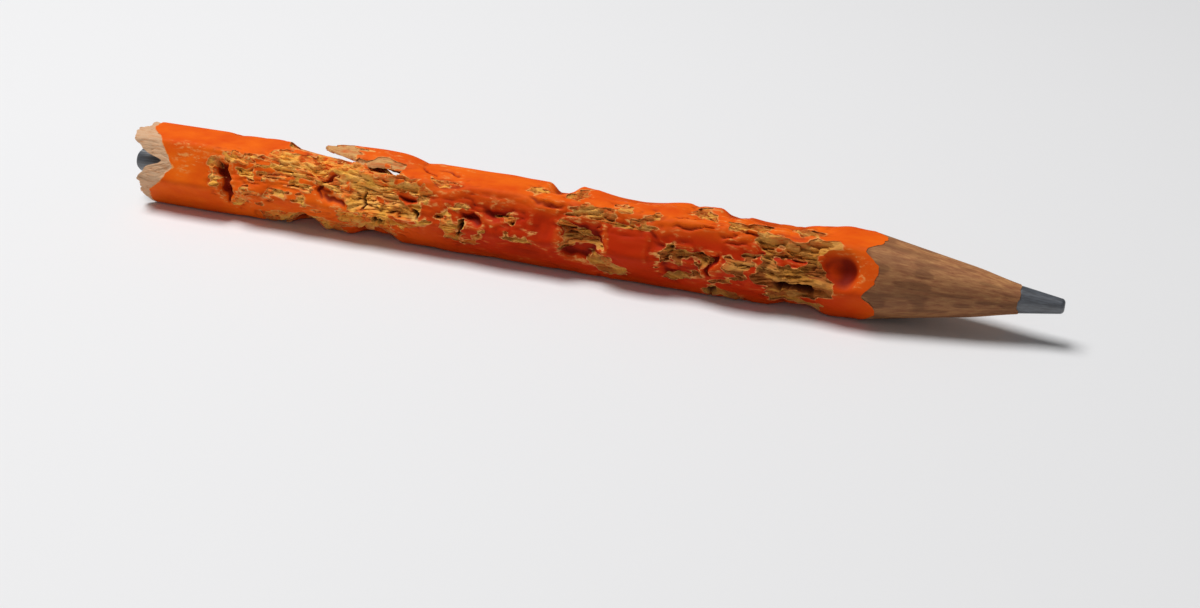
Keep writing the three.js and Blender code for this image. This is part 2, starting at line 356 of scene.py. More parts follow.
# Steep-sided bites that press the lacquer and the wood in together.
BITES = (
    Patch(1.3, 0.6, ((10.7, 43), (12.2, 47), (12.4, 60), (12.9, 72), (13.2, 88), (13.2, 97), (12.6, 107),
                     (11.9, 118), (11.3, 112), (11.1, 100), (11.1, 86), (10.9, 76), (10.6, 62))),
    Patch(0.5, 0.7, ((22.0, 56), (23.2, 64), (24.7, 76), (25.1, 90), (23.4, 92), (22.3, 82), (21.9, 70))),
    Patch(0.7, 0.8, ((29.8, 54), (30.8, 48), (32.0, 50), (32.5, 58), (32.0, 67), (30.8, 70), (30.0, 64))),
    Patch(0.8, 0.8, ((35.9, 62), (37.4, 59), (38.6, 70), (38.3, 84), (36.9, 89), (36.0, 78))),
    Patch(0.5, 0.9, ((38.2, 46), (40.0, 41), (41.4, 50), (41.2, 70), (40.0, 78), (38.8, 74), (38.2, 60))),
    Patch(0.85, 0.9, ((45.8, 56), (47.4, 50), (49.5, 46), (50.2, 58), (50.3, 75), (50.0, 92), (49.5, 113),
                      (48.4, 123), (46.8, 119), (45.9, 104), (46.1, 90), (45.9, 72))),
    Patch(0.45, 0.6, ((55.1, 86), (55.7, 66), (57.4, 61), (59.4, 69), (59.8, 88), (59.3, 103), (57.6, 117),
                      (56.1, 121), (55.1, 108))),
    Patch(0.6, 0.4, ((59.6, 68), (60.7, 66), (60.5, 84), (60.1, 98), (59.7, 109), (59.2, 105), (59.5, 90))),
)

# Creases and cracks in what is pressed in.
GROOVES = (
    Stroke(0.45, 0.35, ((24.2, 31), (23.2, 42), (22.3, 56), (22.0, 70), (22.5, 82), (23.2, 91))),
    Stroke(0.3, 0.3, ((31.1, -8), (32.0, 2), (33.3, 12))),
    Stroke(0.25, 0.25, ((33.0, -12), (34.2, -4), (35.4, 4))),
    Stroke(0.25, 0.3, ((42.2, 28), (44.2, 36), (46.4, 31))),
    Stroke(0.2, 0.2, ((55.6, 38.5), (58.0, 36.5), (60.3, 32.5))),
    Stroke(0.22, 0.24, ((55.9, 30), (57.5, 22), (58.6, 15))),
    Stroke(0.3, 0.25, ((60.8, 28), (62.5, 30), (64.4, 31))),
    Stroke(0.36, 0.25, ((64.4, 63.5), (66.4, 58), (68.9, 57))),
    Stroke(0.3, 0.25, ((62.4, 67), (63.6, 60), (64.6, 56))),
    Stroke(0.22, 0.3, ((60.2, 45), (61.0, 40), (62.0, 36))),
    Stroke(0.2, 0.4, ((53.4, 51), (54.6, 58), (55.4, 72))),
    Stroke(0.2, 0.3, ((60.6, 54), (61.8, 52), (63.2, 46))),
)

# Scrapes and rubbed crests, where the lacquer has gone pale.
SCRAPES = (
    Stroke(-0.05, 0.9, ((10.0, 40), (8.4, 54), (6.6, 78))),
    Stroke(0.04, 0.8, ((5.2, 34), (7.2, 32), (10.4, 35))),
    Stroke(0.05, 0.7, ((5.8, 54), (7.0, 48), (8.6, 44))),
    Stroke(-0.05, 0.3, ((35.0, 37), (35.8, 33), (36.8, 35), (37.1, 45), (36.9, 52))),
    Stroke(-0.06, 0.3, ((37.1, 36), (39.0, 38.5), (41.3, 38.5), (42.2, 36))),
    Stroke(-0.06, 0.32, ((38.2, 56), (38.8, 72), (39.6, 79), (41.0, 76))),
    Stroke(-0.05, 0.2, ((41.0, 78), (42.0, 74), (43.2, 76))),
    Stroke(-0.05, 0.22, ((43.2, 46), (44.6, 42), (46.4, 35))),
    Stroke(-0.08, 0.3, ((49.8, 50), (50.4, 64), (50.5, 76), (50.2, 88), (50.0, 97))),
    Stroke(-0.05, 0.2, ((48.0, 46), (49.6, 42.5))),
    Stroke(-0.04, 0.2, ((47.2, -14), (47.9, -4), (48.4, 8))),
    Stroke(-0.04, 0.25, ((69.2, 44), (70.2, 38), (71.4, 40))),
    Stroke(0.03, 0.14, ((66.8, 10), (67.6, 4), (68.6, 8))),
    Stroke(-0.03, 0.5, ((23.2, -24), (27.0, -17), (31.2, -9))),
    Stroke(-0.04, 0.4, ((31.0, -28), (33.4, -20), (36.6, -14))),
    Stroke(-0.04, 0.3, ((32.6, -2), (35.0, 12), (36.2, 24))),
)

# Places where the lacquer is torn off and the bare wood is gnawed hollow.
TEARS = (
    Patch(0.1, 0.4, ((10.1, 42), (10.8, 35), (11.2, 40), (10.7, 50), (10.65, 62), (10.85, 75), (11.0, 85),
                     (10.8, 90), (10.4, 80), (10.1, 70), (10.0, 55))),
    Patch(0.2, 0.4, ((11.4, 37), (12.6, 31), (13.6, 41), (13.4, 48), (12.3, 46))),
    Patch(0.2, 0.5, ((12.9, 53), (14.3, 55), (15.1, 69), (14.8, 77), (13.9, 71), (13.1, 63))),
    Patch(0.1, 0.4, ((13.3, 93), (13.9, 98), (13.6, 112), (13.0, 121), (12.5, 119), (13.0, 106))),
    Patch(0.2, 0.4, ((12.8, 30), (14.5, 27), (16.3, 29), (16.5, 37), (14.6, 36), (13.0, 35))),
    Patch(0.5, 0.9, ((16.1, 14), (17.2, 6), (18.4, 8), (19.4, 10), (20.4, -2), (21.6, 0), (23.2, 8),
                     (25.4, 14), (26.2, 24), (24.6, 32), (23.2, 38), (22.4, 57), (20.2, 56), (19.0, 52),
                     (17.4, 56), (16.6, 48), (16.4, 40), (17.2, 36), (16.1, 30), (15.9, 22))),
    Patch(0.2, 0.4, ((16.4, 79), (17.5, 74), (19.0, 80), (20.6, 82), (20.4, 91), (18.5, 88), (17.2, 89),
                     (16.3, 96), (15.7, 111), (15.1, 108), (15.9, 93))),
    Patch(0.35, 0.5, ((14.8, 140), (15.4, 128), (17.0, 121), (18.8, 123), (20.2, 115), (21.2, 123),
                      (20.8, 140), (19.4, 152), (17.0, 160), (15.2, 152))),
    Patch(0.6, 0.9, ((23.2, 33), (25.0, 27), (28.0, 29), (30.0, 27), (31.2, 31), (32.5, 36), (34.0, 46),
                     (34.0, 55), (32.5, 58), (32.2, 66), (32.8, 74), (32.6, 86), (31.7, 92), (30.4, 97),
                     (29.4, 92), (27.0, 93), (25.0, 90), (24.7, 76), (23.4, 66), (22.6, 62), (22.5, 54),
                     (23.3, 45))),
    Patch(0.5, 0.7, ((23.6, 97), (25.0, 88), (27.0, 91), (29.4, 90), (30.0, 102), (29.3, 116), (29.5, 133),
                     (28.0, 142), (26.4, 141), (24.8, 131), (24.0, 118))),
    Patch(0.3, 0.5, ((20.6, 127), (22.0, 119), (23.6, 123), (24.7, 135), (23.0, 152), (21.6, 148))),
    Patch(0.1, 0.3, ((30.1, 111), (31.3, 98), (32.7, 86), (34.0, 76), (35.3, 66), (35.7, 71), (34.4, 83),
                     (33.3, 92), (32.0, 103), (30.7, 116))),
    Patch(0.25, 0.4, ((34.5, 88), (35.5, 78), (36.1, 84), (36.4, 100), (36.0, 119), (35.1, 120),
                      (34.8, 106))),
    Patch(0.2, 0.3, ((38.1, 93), (38.8, 90), (38.5, 102), (37.6, 115), (37.0, 127), (36.1, 128),
                     (36.8, 113), (37.6, 103))),
    Patch(0.15, 0.3, ((35.0, 56), (36.4, 53), (37.1, 50.5), (38.5, 56), (37.4, 59.5), (36.3, 58),
                      (35.2, 61))),
    Patch(0.25, 0.4, ((40.9, 81), (42.0, 84), (43.4, 80), (43.5, 92), (42.1, 94), (40.7, 99), (40.8, 90))),
    Patch(0.3, 0.4, ((42.2, 2), (42.9, -6), (43.7, 2), (43.5, 18), (42.8, 23), (42.2, 14))),
    Patch(0.3, 0.4, ((46.2, -14), (47.2, -20), (47.4, -4), (47.1, 8), (46.8, 21), (46.1, 16), (46.4, 4))),
    Patch(0.3, 0.5, ((46.5, 33), (47.8, 28), (49.7, 32), (50.5, 32), (50.2, 41), (48.3, 43), (47.3, 47),
                     (46.5, 52), (46.2, 46))),
    Patch(0.25, 0.4, ((49.8, 40), (51.2, 35), (51.3, 40), (52.6, 36), (54.2, 24), (54.6, 28), (53.4, 37),
                      (52.1, 44), (51.7, 50), (50.5, 54), (49.6, 48))),
    Patch(0.15, 0.3, ((51.4, 47), (52.6, 42.5), (53.5, 40.5), (55.0, 43), (54.5, 50.5), (53.8, 51),
                      (53.0, 47.5), (52.0, 52))),
    Patch(0.3, 0.4, ((46.0, 63), (47.0, 60), (47.6, 70), (48.6, 72), (49.8, 78), (49.5, 91), (48.2, 90),
                     (47.4, 94), (46.9, 99), (46.6, 108), (45.7, 109), (46.2, 95), (46.6, 80))),
    Patch(0.25, 0.4, ((48.9, 101), (49.9, 91), (50.7, 93), (50.5, 110), (51.7, 118), (51.7, 131),
                      (50.6, 142), (49.6, 144), (49.2, 126), (48.6, 118))),
    Patch(0.2, 0.3, ((50.2, 14), (51.4, 16), (52.2, 28), (51.5, 33), (50.6, 26))),
    Patch(0.3, 0.4, ((57.4, -22), (58.5, -20), (59.2, -8), (59.7, 6), (60.2, 20), (59.9, 30), (58.8, 19),
                     (58.3, 6), (57.8, 11), (57.5, 0))),
    Patch(0.2, 0.4, ((61.0, 24), (61.5, 13), (62.5, 16), (63.3, 3), (64.2, -4), (64.8, 4), (64.4, 15),
                     (63.8, 22), (62.5, 27), (61.5, 29))),
    Patch(0.2, 0.3, ((55.0, 80), (55.6, 64), (56.4, 60), (56.5, 72), (55.8, 87), (55.1, 98), (54.8, 90))),
    Patch(0.25, 0.3, ((56.4, 73), (57.2, 64), (57.9, 69), (58.8, 70), (59.8, 73), (59.7, 90), (59.2, 98),
                      (59.0, 82), (58.0, 79), (57.3, 81), (57.0, 89), (56.5, 85))),
    Patch(0.2, 0.3, ((56.0, 113), (57.5, 107), (58.5, 97), (59.1, 91), (59.4, 100), (58.5, 110),
                     (57.4, 118), (56.8, 127), (55.8, 123))),
    Patch(0.25, 0.4, ((61.1, 74), (62.2, 71), (63.4, 60), (63.8, 69), (63.0, 82), (62.6, 95), (62.2, 107),
                      (61.3, 104), (61.7, 92), (61.1, 83))),
    Patch(0.1, 0.3, ((60.1, 117), (61.4, 103), (61.6, 110), (60.6, 122))),
    Patch(0.3, 0.4, ((59.9, 130), (62.3, 132), (62.5, 146), (61.0, 145), (60.1, 141))),
    Patch(0.15, 0.4, ((66.2, -8), (68.4, -4), (69.1, 10), (68.7, 23), (67.3, 21), (66.7, 8))),
    Patch(0.5, 0.8, ((63.6, 26), (65.4, 28), (67.0, 31), (69.0, 24), (70.4, 22), (70.7, 36), (69.7, 42),
                     (69.1, 50), (69.4, 62), (69.7, 72), (69.8, 82), (70.6, 91), (70.4, 105), (69.2, 112),
                     (68.8, 118), (69.7, 129), (68.8, 147), (67.0, 152), (65.6, 148), (64.7, 137),
                     (64.8, 108), (64.1, 101), (63.8, 88), (64.1, 74), (64.3, 60), (63.7, 52), (63.4, 40))),
    Patch(0.1, 0.3, ((13.8, 46), (15.2, 44), (16.4, 47), (15.6, 51), (14.4, 50))),
    Patch(0.1, 0.3, ((15.2, 62), (16.8, 59), (18.4, 61), (17.6, 65), (16.0, 66))),
    Patch(0.1, 0.3, ((18.4, 66), (19.8, 63), (21.4, 66), (20.6, 70), (19.2, 69))),
    Patch(0.1, 0.3, ((13.6, 84), (14.8, 81), (15.6, 84), (14.8, 88), (13.9, 88))),
    Patch(0.1, 0.3, ((20.4, 100), (21.6, 97), (23.2, 100), (22.4, 105), (21.0, 104))),
    Patch(0.1, 0.3, ((33.0, 22), (34.4, 18), (35.8, 21), (34.8, 27), (33.4, 27))),
    Patch(0.1, 0.3, ((39.8, 62), (41.2, 58), (42.2, 62), (41.4, 69), (40.2, 69))),
)

# Islands of lacquer that still hold inside the tears.
ISLANDS = (
    Patch(0.0, 0.3, ((18.0, -4), (19.4, -8), (20.4, 0), (20.6, 10), (19.4, 6))),
    Patch(0.0, 0.3, ((23.7, 45), (25.2, 46), (25.6, 50), (24.6, 54), (23.8, 53))),
    Patch(0.0, 0.3, ((23.8, 56), (25.4, 56), (25.3, 63), (24.0, 64))),
    Patch(0.0, 0.3, ((27.4, 61), (28.8, 60), (28.7, 67), (27.6, 69))),
    Patch(0.0, 0.3, ((29.3, 34), (30.7, 33), (30.7, 40), (29.5, 41))),
    Patch(0.0, 0.3, ((30.0, 55), (30.9, 50), (31.9, 51), (32.2, 59), (31.8, 66), (30.8, 68), (30.2, 63))),
    Patch(0.0, 0.3, ((65.1, 41), (66.1, 42), (66.1, 51), (65.1, 51))),
    Patch(0.0, 0.3, ((65.2, 59), (67.7, 60), (67.5, 67), (65.3, 67))),
    Patch(0.0, 0.3, ((67.7, 120), (68.9, 118), (69.0, 131), (67.8, 131))),
)

# Narrow, deep tooth cuts through the lacquer into the wood.
CUTS = (
    Patch(1.5, 0.2, ((36.0, 76), (36.6, 77), (36.9, 90), (36.65, 104), (36.1, 120), (35.65, 120),
                     (36.15, 104), (36.35, 90))),
    Patch(1.5, 0.35, ((65.1, 98), (66.0, 93), (67.5, 92), (68.6, 94), (69.0, 105), (68.7, 116), (67.8, 115),
                      (67.0, 117), (66.3, 109), (65.5, 107))),
    Patch(1.2, 0.3, ((26.9, 96), (27.9, 93), (28.3, 112), (28.0, 127), (27.1, 124), (27.1, 108))),
    Patch(0.9, 0.25, ((31.6, 71), (32.4, 72), (32.6, 86), (31.8, 90))),
    Patch(0.7, 0.15, ((26.25, 60), (26.6, 60), (26.75, 87), (26.3, 86))),
    Patch(0.9, 0.25, ((59.1, 136), (60.2, 134), (60.5, 147), (59.3, 149))),
)


@dataclass
class BarrelNoise:
    """Smooth seeded noise on the unrolled barrel, which closes on itself round the barrel."""

    seed: int
    cells: int = 256

    def __post_init__(self) -> None:
        """Draws the noise's values."""
        self.table = np.random.default_rng(self.seed).uniform(-1.0, 1.0, (self.cells, self.cells))

    def at(self, along: Array, around: Array, pitch: float, width: float) -> Array:
        """Reads the noise.

        Args:
            along: Places along the barrel.
            around: Places around the barrel.
            pitch: Size of a noise cell along the barrel, in millimetres.
            width: Size of a noise cell around the barrel, in millimetres.

        Returns:
            Values from -1 to 1.
        """
        count = max(3, round(GIRTH / width))
        row = along / pitch + 0.37 * self.seed
        column = (around % 360.0) / 360.0 * count
        row_cell, column_cell = np.floor(row).astype(int), np.floor(column).astype(int)
        row_share = smooth_step(row - row_cell, 0.0, 1.0)
        column_share = smooth_step(column - column_cell, 0.0, 1.0)
        rows = (row_cell % self.cells, (row_cell + 1) % self.cells)
        columns = (column_cell % count % self.cells, (column_cell + 1) % count % self.cells)
        first = self.table[rows[0], columns[0]] * (1 - column_share)
        first = first + self.table[rows[0], columns[1]] * column_share
        second = self.table[rows[1], columns[0]] * (1 - column_share)
        second = second + self.table[rows[1], columns[1]] * column_share
        return first * (1 - row_share) + second * row_share


@dataclass(frozen=True)
class Ripple:
    """A layer of noise on the barrel: its height, and the size of its cells along and around, in millimetres.

    The shift, along the barrel, reads another part of the noise.
    """

    height: float
    pitch: float
    width: float
    shift: float = 0.0

    def read(self, noise: BarrelNoise, along: Array, around: Array) -> Array:
        """The noise itself, from -1 to 1."""
        return noise.at(along + self.shift, around, self.pitch, self.width)

    def at(self, noise: BarrelNoise, along: Array, around: Array) -> Array:
        """The layer as waves, from minus its height to its height."""
        return self.height * self.read(noise, along, around)

    def mounds(self, noise: BarrelNoise, along: Array, around: Array) -> Array:
        """The layer as soft mounds, from 0 to its height."""
        return self.height * (0.5 + 0.5 * self.read(noise, along, around))

    def ridges(self, noise: BarrelNoise, along: Array, around: Array, sharpness: int) -> Array:
        """The layer as ridges from 0 to its height, which are narrower the sharper they are."""
        return self.height * (1.0 - np.abs(self.read(noise, along, around))) ** sharpness


@dataclass
class WoodFibres:
    """Torn bundles of fibres: strips along the grain, broken into lengths that stand at different heights."""

    seed: int
    width: float
    length: float
    breaks: int = 64
    # How the strips' sides and their breaks waver, in strips and in lengths.
    side_waver: Ripple = Ripple(0.3, 1.1, 0.8)
    break_waver: Ripple = Ripple(0.12, 0.5, 0.15)
    level_share: float = 0.65
    gap_level: float = 0.45

    def __post_init__(self) -> None:
        """Draws the strips' heights, leans, lengths and starts."""
        draw = np.random.default_rng(self.seed)
        self.count = round(GIRTH / self.width)
        self.level = draw.random((self.count, self.breaks))
        self.lean = draw.random((self.count, self.breaks))
        self.span = self.length * draw.uniform(0.5, 1.5, self.count)
        self.start = draw.uniform(0.0, 10.0, self.count)
        self.drift = BarrelNoise(self.seed + 1)

    def height(self, along: Array, around: Array) -> Array:
        """Height of the torn surface, from 0 in the gaps to 1 on the proudest fibres.

        Args:
            along: Places along the barrel.
            around: Places around the barrel.

        Returns:
            The height at each place.
        """
        strip_at = (around % 360.0) / 360.0 * self.count
        strip_at = strip_at + self.side_waver.at(self.drift, along, around)
        strip = np.floor(strip_at).astype(int)
        across = strip_at - strip
        strip = strip % self.count
        break_at = along / self.span[strip] + self.start[strip]
        break_at = break_at + self.break_waver.at(self.drift, along, around)
        step = np.floor(break_at).astype(int)
        share = break_at - step
        step = step % self.breaks
        rise = np.where(self.lean[strip, step] > 0.5, share, 1.0 - share)
        crown = 1.0 - np.abs(2.0 * across - 1.0) ** 3
        top = self.level_share * self.level[strip, step] + (1.0 - self.level_share) * rise
        return top * (self.gap_level + (1.0 - self.gap_level) * crown)


@dataclass
class SplitCorner:
    """The split at the top rear corner: the flat that is left on the barrel and the splinter above it.

    Each line gives places along the barrel, and either heights above the axis square to the corner or
    distances from the splinter's middle towards the near side.
    """

    facing: float = -28.0
    floor: Points = (
        (16.1, 4.2), (16.9, 3.35), (18.4, 3.2), (19.7, 3.06), (21.0, 2.98), (23.6, 2.72), (24.3, 2.85),
        (25.8, 2.75), (26.4, 2.2), (29.5, 2.13), (29.9, 4.6),
    )
    underside: Points = (
        (20.2, 3.75), (21.0, 3.52), (21.8, 3.33), (24.3, 2.88), (26.6, 2.73), (29.4, 2.58), (31.0, 2.3),
    )
    near_edge: Points = (
        (20.2, 0.4), (21.0, 1.0), (24.0, 1.85), (25.5, 2.35), (27.0, 2.15), (29.0, 2.15), (31.0, 2.7),
    )
    far_edge: Points = ((20.2, -0.5), (21.0, -0.95), (24.0, -1.75), (27.0, -2.2), (31.0, -2.7))
    lift: float = 0.6
    lift_middle: float = 25.0
    lift_length: float = 12.0
    lift_width: float = 4.6
    bare_tip: float = 21.3
    bare_edge: float = 0.55
    bare_fades: tuple[float, float] = (29.0, 25.0)
    bare_far_edge: float = 0.1
    # The flat is left out where it would turn too far from the way that the splinter faces.
    least_facing: float = 0.2

    def read(self, line: Points, along: Array) -> Array:
        """Reads a line of the split at places along the barrel."""
        places, values = zip(*line)
        return np.interp(along, places, values)

    def raised(self, along: Array, around: Array) -> Array:
        """How far the splinter lifts the outside of the barrel.

        Args:
            along: Places along the barrel.
            around: Places around the barrel.

        Returns:
            The lift in millimetres.
        """
        lengthwise = (along - self.lift_middle) / (self.lift_length / 2)
        crosswise = np.radians(turned_from(around, self.facing)) * HALF_FLATS / (self.lift_width / 2)
        return self.lift * np.maximum(0.0, 1.0 - lengthwise**4 - crosswise**4)

    def floor_radius(self, along: Array, around: Array) -> Array:
        """Distance from the axis to the flat that the split left on the barrel.

        Args:
            along: Places along the barrel.
            around: Places around the barrel.

        Returns:
            The distance in millimetres, or NO_FLAT.
        """
        facing = np.cos(np.radians(around - self.facing))
        level = self.read(self.floor, along)
        inside = (along > self.floor[0][0]) & (along < self.floor[-1][0]) & (facing > self.least_facing)
        return np.where(inside, level / np.maximum(facing, self.least_facing), NO_FLAT)

    def paint_margin(self, along: Array, around: Array, outside: Array) -> Array:
        """How far inside the splinter's painted back places lie.

        Args:
            along: Places along the barrel.
            around: Places around the barrel.
            outside: The lacquer's outer radius there.

        Returns:
            The distance in millimetres, negative on bare wood.
        """
        aside = outside * np.sin(np.radians(around - self.facing))
        bare = self.bare_edge * smooth_step(along, *self.bare_fades)
        near = self.read(self.near_edge, along) - aside - bare
        far = aside - self.read(self.far_edge, along) - self.bare_far_edge
        return np.minimum(np.minimum(near, far), along - self.bare_tip)


@dataclass
class ChewedBarrel:
    """The form of the barrel: what the teeth did to the lacquer and to the wood under it."""

    length: float
    chewed: tuple[float, float] = (9.2, 71.0)
    split: SplitCorner = field(default_factory=SplitCorner)
    swell: BarrelNoise = field(default_factory=lambda: BarrelNoise(3))
    ragged: BarrelNoise = field(default_factory=lambda: BarrelNoise(11))
    sway: BarrelNoise = field(default_factory=lambda: BarrelNoise(19))
    bundles: WoodFibres = field(default_factory=lambda: WoodFibres(23, 0.6, 2.6))
    strands: WoodFibres = field(default_factory=lambda: WoodFibres(31, 0.27, 1.7))
    threads: WoodFibres = field(default_factory=lambda: WoodFibres(37, 0.17, 0.9))
    # How the teeth crumpled the lacquer, how much calmer a panel is and what shows of it on the hidden sides.
    lumps: Ripple = Ripple(0.18, 2.2, 1.7)
    folds: Ripple = Ripple(0.1, 2.4, 1.1, 40.0)
    wrinkles: Ripple = Ripple(0.07, 1.8, 0.36, 120.0)
    rough_places: Ripple = Ripple(1.0, 4.5, 2.6, 160.0)
    panel_calm: float = 0.85
    hidden_share: float = 0.12
    # What is crumpled as well close to the tears.
    edge_creases: Ripple = Ripple(0.12, 1.3, 0.5, 80.0)
    edge_wrinkles: Ripple = Ripple(0.06, 1.8, 0.36, 120.0)
    edge_dimples: Ripple = Ripple(0.06, 0.6, 0.36)
    edge_reach: tuple[float, float] = (1.1, 0.1)
    # How the drawn outlines stray, and how ragged the torn and the sharpened edges of the lacquer are.
    stray_ahead: tuple[Ripple, ...] = (Ripple(0.34, 1.2, 0.8, 20.0), Ripple(0.16, 0.5, 0.4, 20.0))
    stray_aside: tuple[Ripple, ...] = (Ripple(0.3, 1.2, 0.8, 60.0), Ripple(0.12, 0.5, 0.4, 60.0))
    torn_edge: tuple[Ripple, ...] = (
        Ripple(0.22, 1.3, 0.6), Ripple(0.36, 1.7, 0.3, 30.0), Ripple(0.26, 0.5, 0.3), Ripple(0.06, 0.3, 0.2))
    unchewed_edge_share: float = 0.35
    cut_edge_share: float = 0.3
    sharpened_edge: Ripple = Ripple(0.06, 0.6, 0.3)
    splinter_streaks: Ripple = Ripple(1.2, 2.3, 0.35)
    splinter_wear: float = 0.1
    # The corners are worn rounder just behind the point.
    corner_wear: float = 0.4
    corner_wear_along: tuple[float, float] = (69.5, 72.5)
    # The gnawed wood: how its grain bends, how it clumps, and how deep the gaps between its fibres are.
    grain_bends: tuple[Ripple, ...] = (Ripple(0.5, 3.6, 2.4), Ripple(0.2, 1.4, 1.0))
    clumps: tuple[Ripple, ...] = (Ripple(0.22, 1.6, 0.9, 70.0), Ripple(0.12, 0.6, 0.35, 70.0))
    bundle_gap: float = 0.55
    strand_gap: float = 0.34
    thread_gap: float = 0.16
    mean_gap: float = 0.5
    unchewed_gap_share: float = 0.25
    tear_depth_share: float = 0.5
    split_gap_share: float = 0.5
    split_mean_gap: float = 0.3
    # The sharpened wood: its fine score lines, and how it thins out to the lead.
    score_depth: float = 0.03
    score_length: float = 4.0
    front_thinning: float = 0.17
    front_thinning_length: float = 4.0

    @property
    def apex(self) -> float:
        """Where the sharpened cone would end in a needle point."""
        return self.length + POINT_RUNOUT

    def places(self, along: Array, around: Array, radius: Array) -> Array:
        """Points of the frame for places on the barrel.

        Args:
            along: Places along the barrel.
            around: Places around the barrel.
            radius: Their distance from the axis.

        Returns:
            The points, in metres.
        """
        angle = np.radians(around)
        points = (along - self.length / 2, -radius * np.sin(angle), radius * np.cos(angle) + HALF_FLATS)
        return np.stack(np.broadcast_arrays(*points), axis=-1) * MM

    def cone(self, along: Array) -> Array:
        """Radius of the sharpened cone."""
        return (self.apex - along) * POINT_SLOPE

    def hexagon(self, around: Array) -> Array:
        """Radius of an unchewed barrel: a hexagon with rounded corners.

        Args:
            around: Places around the barrel.

        Returns:
            The radius in millimetres.
        """
        turn = np.abs(np.radians((around + 30.0) % 60.0 - 30.0))
        inner = HALF_FLATS - CORNER_ROUNDING
        side = inner * math.tan(math.pi / 6)
        towards = inner * np.cos(turn) + side * np.sin(turn)
        arc = towards + np.sqrt(np.maximum(towards**2 - inner**2 - side**2 + CORNER_ROUNDING**2, 0.0))
        return np.where(HALF_FLATS * np.tan(turn) <= side, HALF_FLATS / np.cos(turn), arc)

    def chewing(self, along: Array) -> Array:
        """How chewed the barrel is along its length, from 0 to 1."""
        start, end = self.chewed
        return smooth_step(along, start, start + 2.0) * smooth_step(along, end, end - 2.5)

    def strayed(self, along: Array, around: Array) -> tuple[Array, Array]:
        """Places a little aside, so that the drawn outlines run as unevenly as torn ones.

        Args:
            along: Places along the barrel.
            around: Places around the barrel.

        Returns:
            The strayed places along and around.
        """
        ahead = sum(ripple.at(self.sway, along, around) for ripple in self.stray_ahead)
        aside = sum(ripple.at(self.sway, along, around) for ripple in self.stray_aside)
        chewing = self.chewing(along)
        return along + chewing * ahead, around + chewing * np.degrees(aside / HALF_FLATS)

    def crumple(self, along: Array, around: Array) -> Array:
        """How far the teeth crumpled the lacquer in, apart from the drawn marks.

        Args:
            along: Places along the barrel.
            around: Places around the barrel.

        Returns:
            The depth in millimetres, as it is where the barrel is fully chewed.
        """
        noise = self.swell
        rough = smooth_step(self.rough_places.at(noise, along, around), -0.3, 0.4)
        folded = self.folds.ridges(noise, along, around, 4) + self.wrinkles.ridges(noise, along, around, 4)
        calm = np.max([panel.hollow(along, around) for panel in PANELS], axis=0)
        depth = (1.0 - self.panel_calm * calm) * (self.lumps.mounds(noise, along, around) + rough * folded)
        edge = self.edge_creases.ridges(noise, along, around, 3)
        edge = edge + self.edge_wrinkles.ridges(noise, along, around, 3)
        edge = edge + self.edge_dimples.mounds(noise, along, around)
        depth = depth + smooth_step(self.tear_margin(along, around), *self.edge_reach) * edge
        seen = smooth_step(from_near_side(around), *NEAR_SIDE_REACH)
        return (self.hidden_share + (1.0 - self.hidden_share) * seen) * depth

    def lacquer_outside(self, along: Array, around: Array) -> Array:
        """Outer radius of the lacquer, or of where it was.

        Args:
            along: Places along the barrel.
            around: Places around the barrel.

        Returns:
            The radius in millimetres.
        """
        hexagon = self.hexagon(around)
        crumpled = self.chewing(along) * self.crumple(along, around)
        radius = hexagon + self.split.raised(along, around) - crumpled
        worn = smooth_step(along, *self.corner_wear_along)
        radius = radius - self.corner_wear * (hexagon - HALF_FLATS) * worn
        for mark in DENTS:
            radius = radius - mark.hollow(along, around)
        aside = self.strayed(along, around)
        for mark in (*BITES, *GROOVES, *SCRAPES):
            radius = radius - mark.hollow(*aside)
        return np.maximum(radius, BORE_RADIUS + LEAST_WOOD_OVER_LEAD + LACQUER_THICKNESS)

    def lacquer_inside(self, outside: Array, margin: Array) -> Array:
        """Inner radius of the lacquer, which thins out towards its edges."""
        return outside - LACQUER_EDGE - (LACQUER_THICKNESS - LACQUER_EDGE) * smooth_step(margin, 0.1, 0.5)

    def tear_margin(self, along: Array, around: Array) -> Array:
        """Distance from the nearest tear in millimetres, negative inside it and FAR well away from it."""
        aside = self.strayed(along, around)
        return np.min([-tear.inside(*aside) for tear in TEARS], axis=0)

    def cut_margin(self, along: Array, around: Array) -> Array:
        """Distance inside the nearest tooth cut in millimetres, negative outside it."""
        aside = self.strayed(along, around)
        return np.max([cut.inside(*aside) for cut in CUTS], axis=0)

    def rim(self, line: Points, around: Array) -> Array:
        """Where a rim at the rear end runs, straight between its points."""
        angles, places = zip(*line)
        return np.interp(turned_from(around, 0.0), angles, places)

    def torn_margin(self, along: Array, around: Array, outside: Array) -> Array:
        """Distance inside the lacquer's torn outline in millimetres, negative on bare wood.

        Args:
            along: Places along the barrel.
            around: Places around the barrel.
            outside: The lacquer's outer radius there.

        Returns:
            The margin at each place, not counting what the sharpener cut away.
        """
        margin = self.tear_margin(along, around)
        aside = self.strayed(along, around)
        for island in ISLANDS:
            margin = np.maximum(margin, island.inside(*aside))
        margin = np.minimum(margin, along - self.rim(LACQUER_RIM, around))
        ragged = sum(ripple.at(self.ragged, along, around) for ripple in self.torn_edge)
        share = self.unchewed_edge_share
        ragged = ragged * (share + (1.0 - share) * self.chewing(along))
        margin = np.minimum(margin + ragged, self.cut_edge_share * ragged - self.cut_margin(along, around))
        left = (self.split.floor_radius(along, around) - outside) * 0.8
        streaks = self.splinter_streaks.at(self.ragged, along, around) - self.splinter_wear
        splinter = self.split.paint_margin(along, around, outside) + streaks + 0.5 * ragged
        return np.minimum(margin, np.maximum(left, splinter))

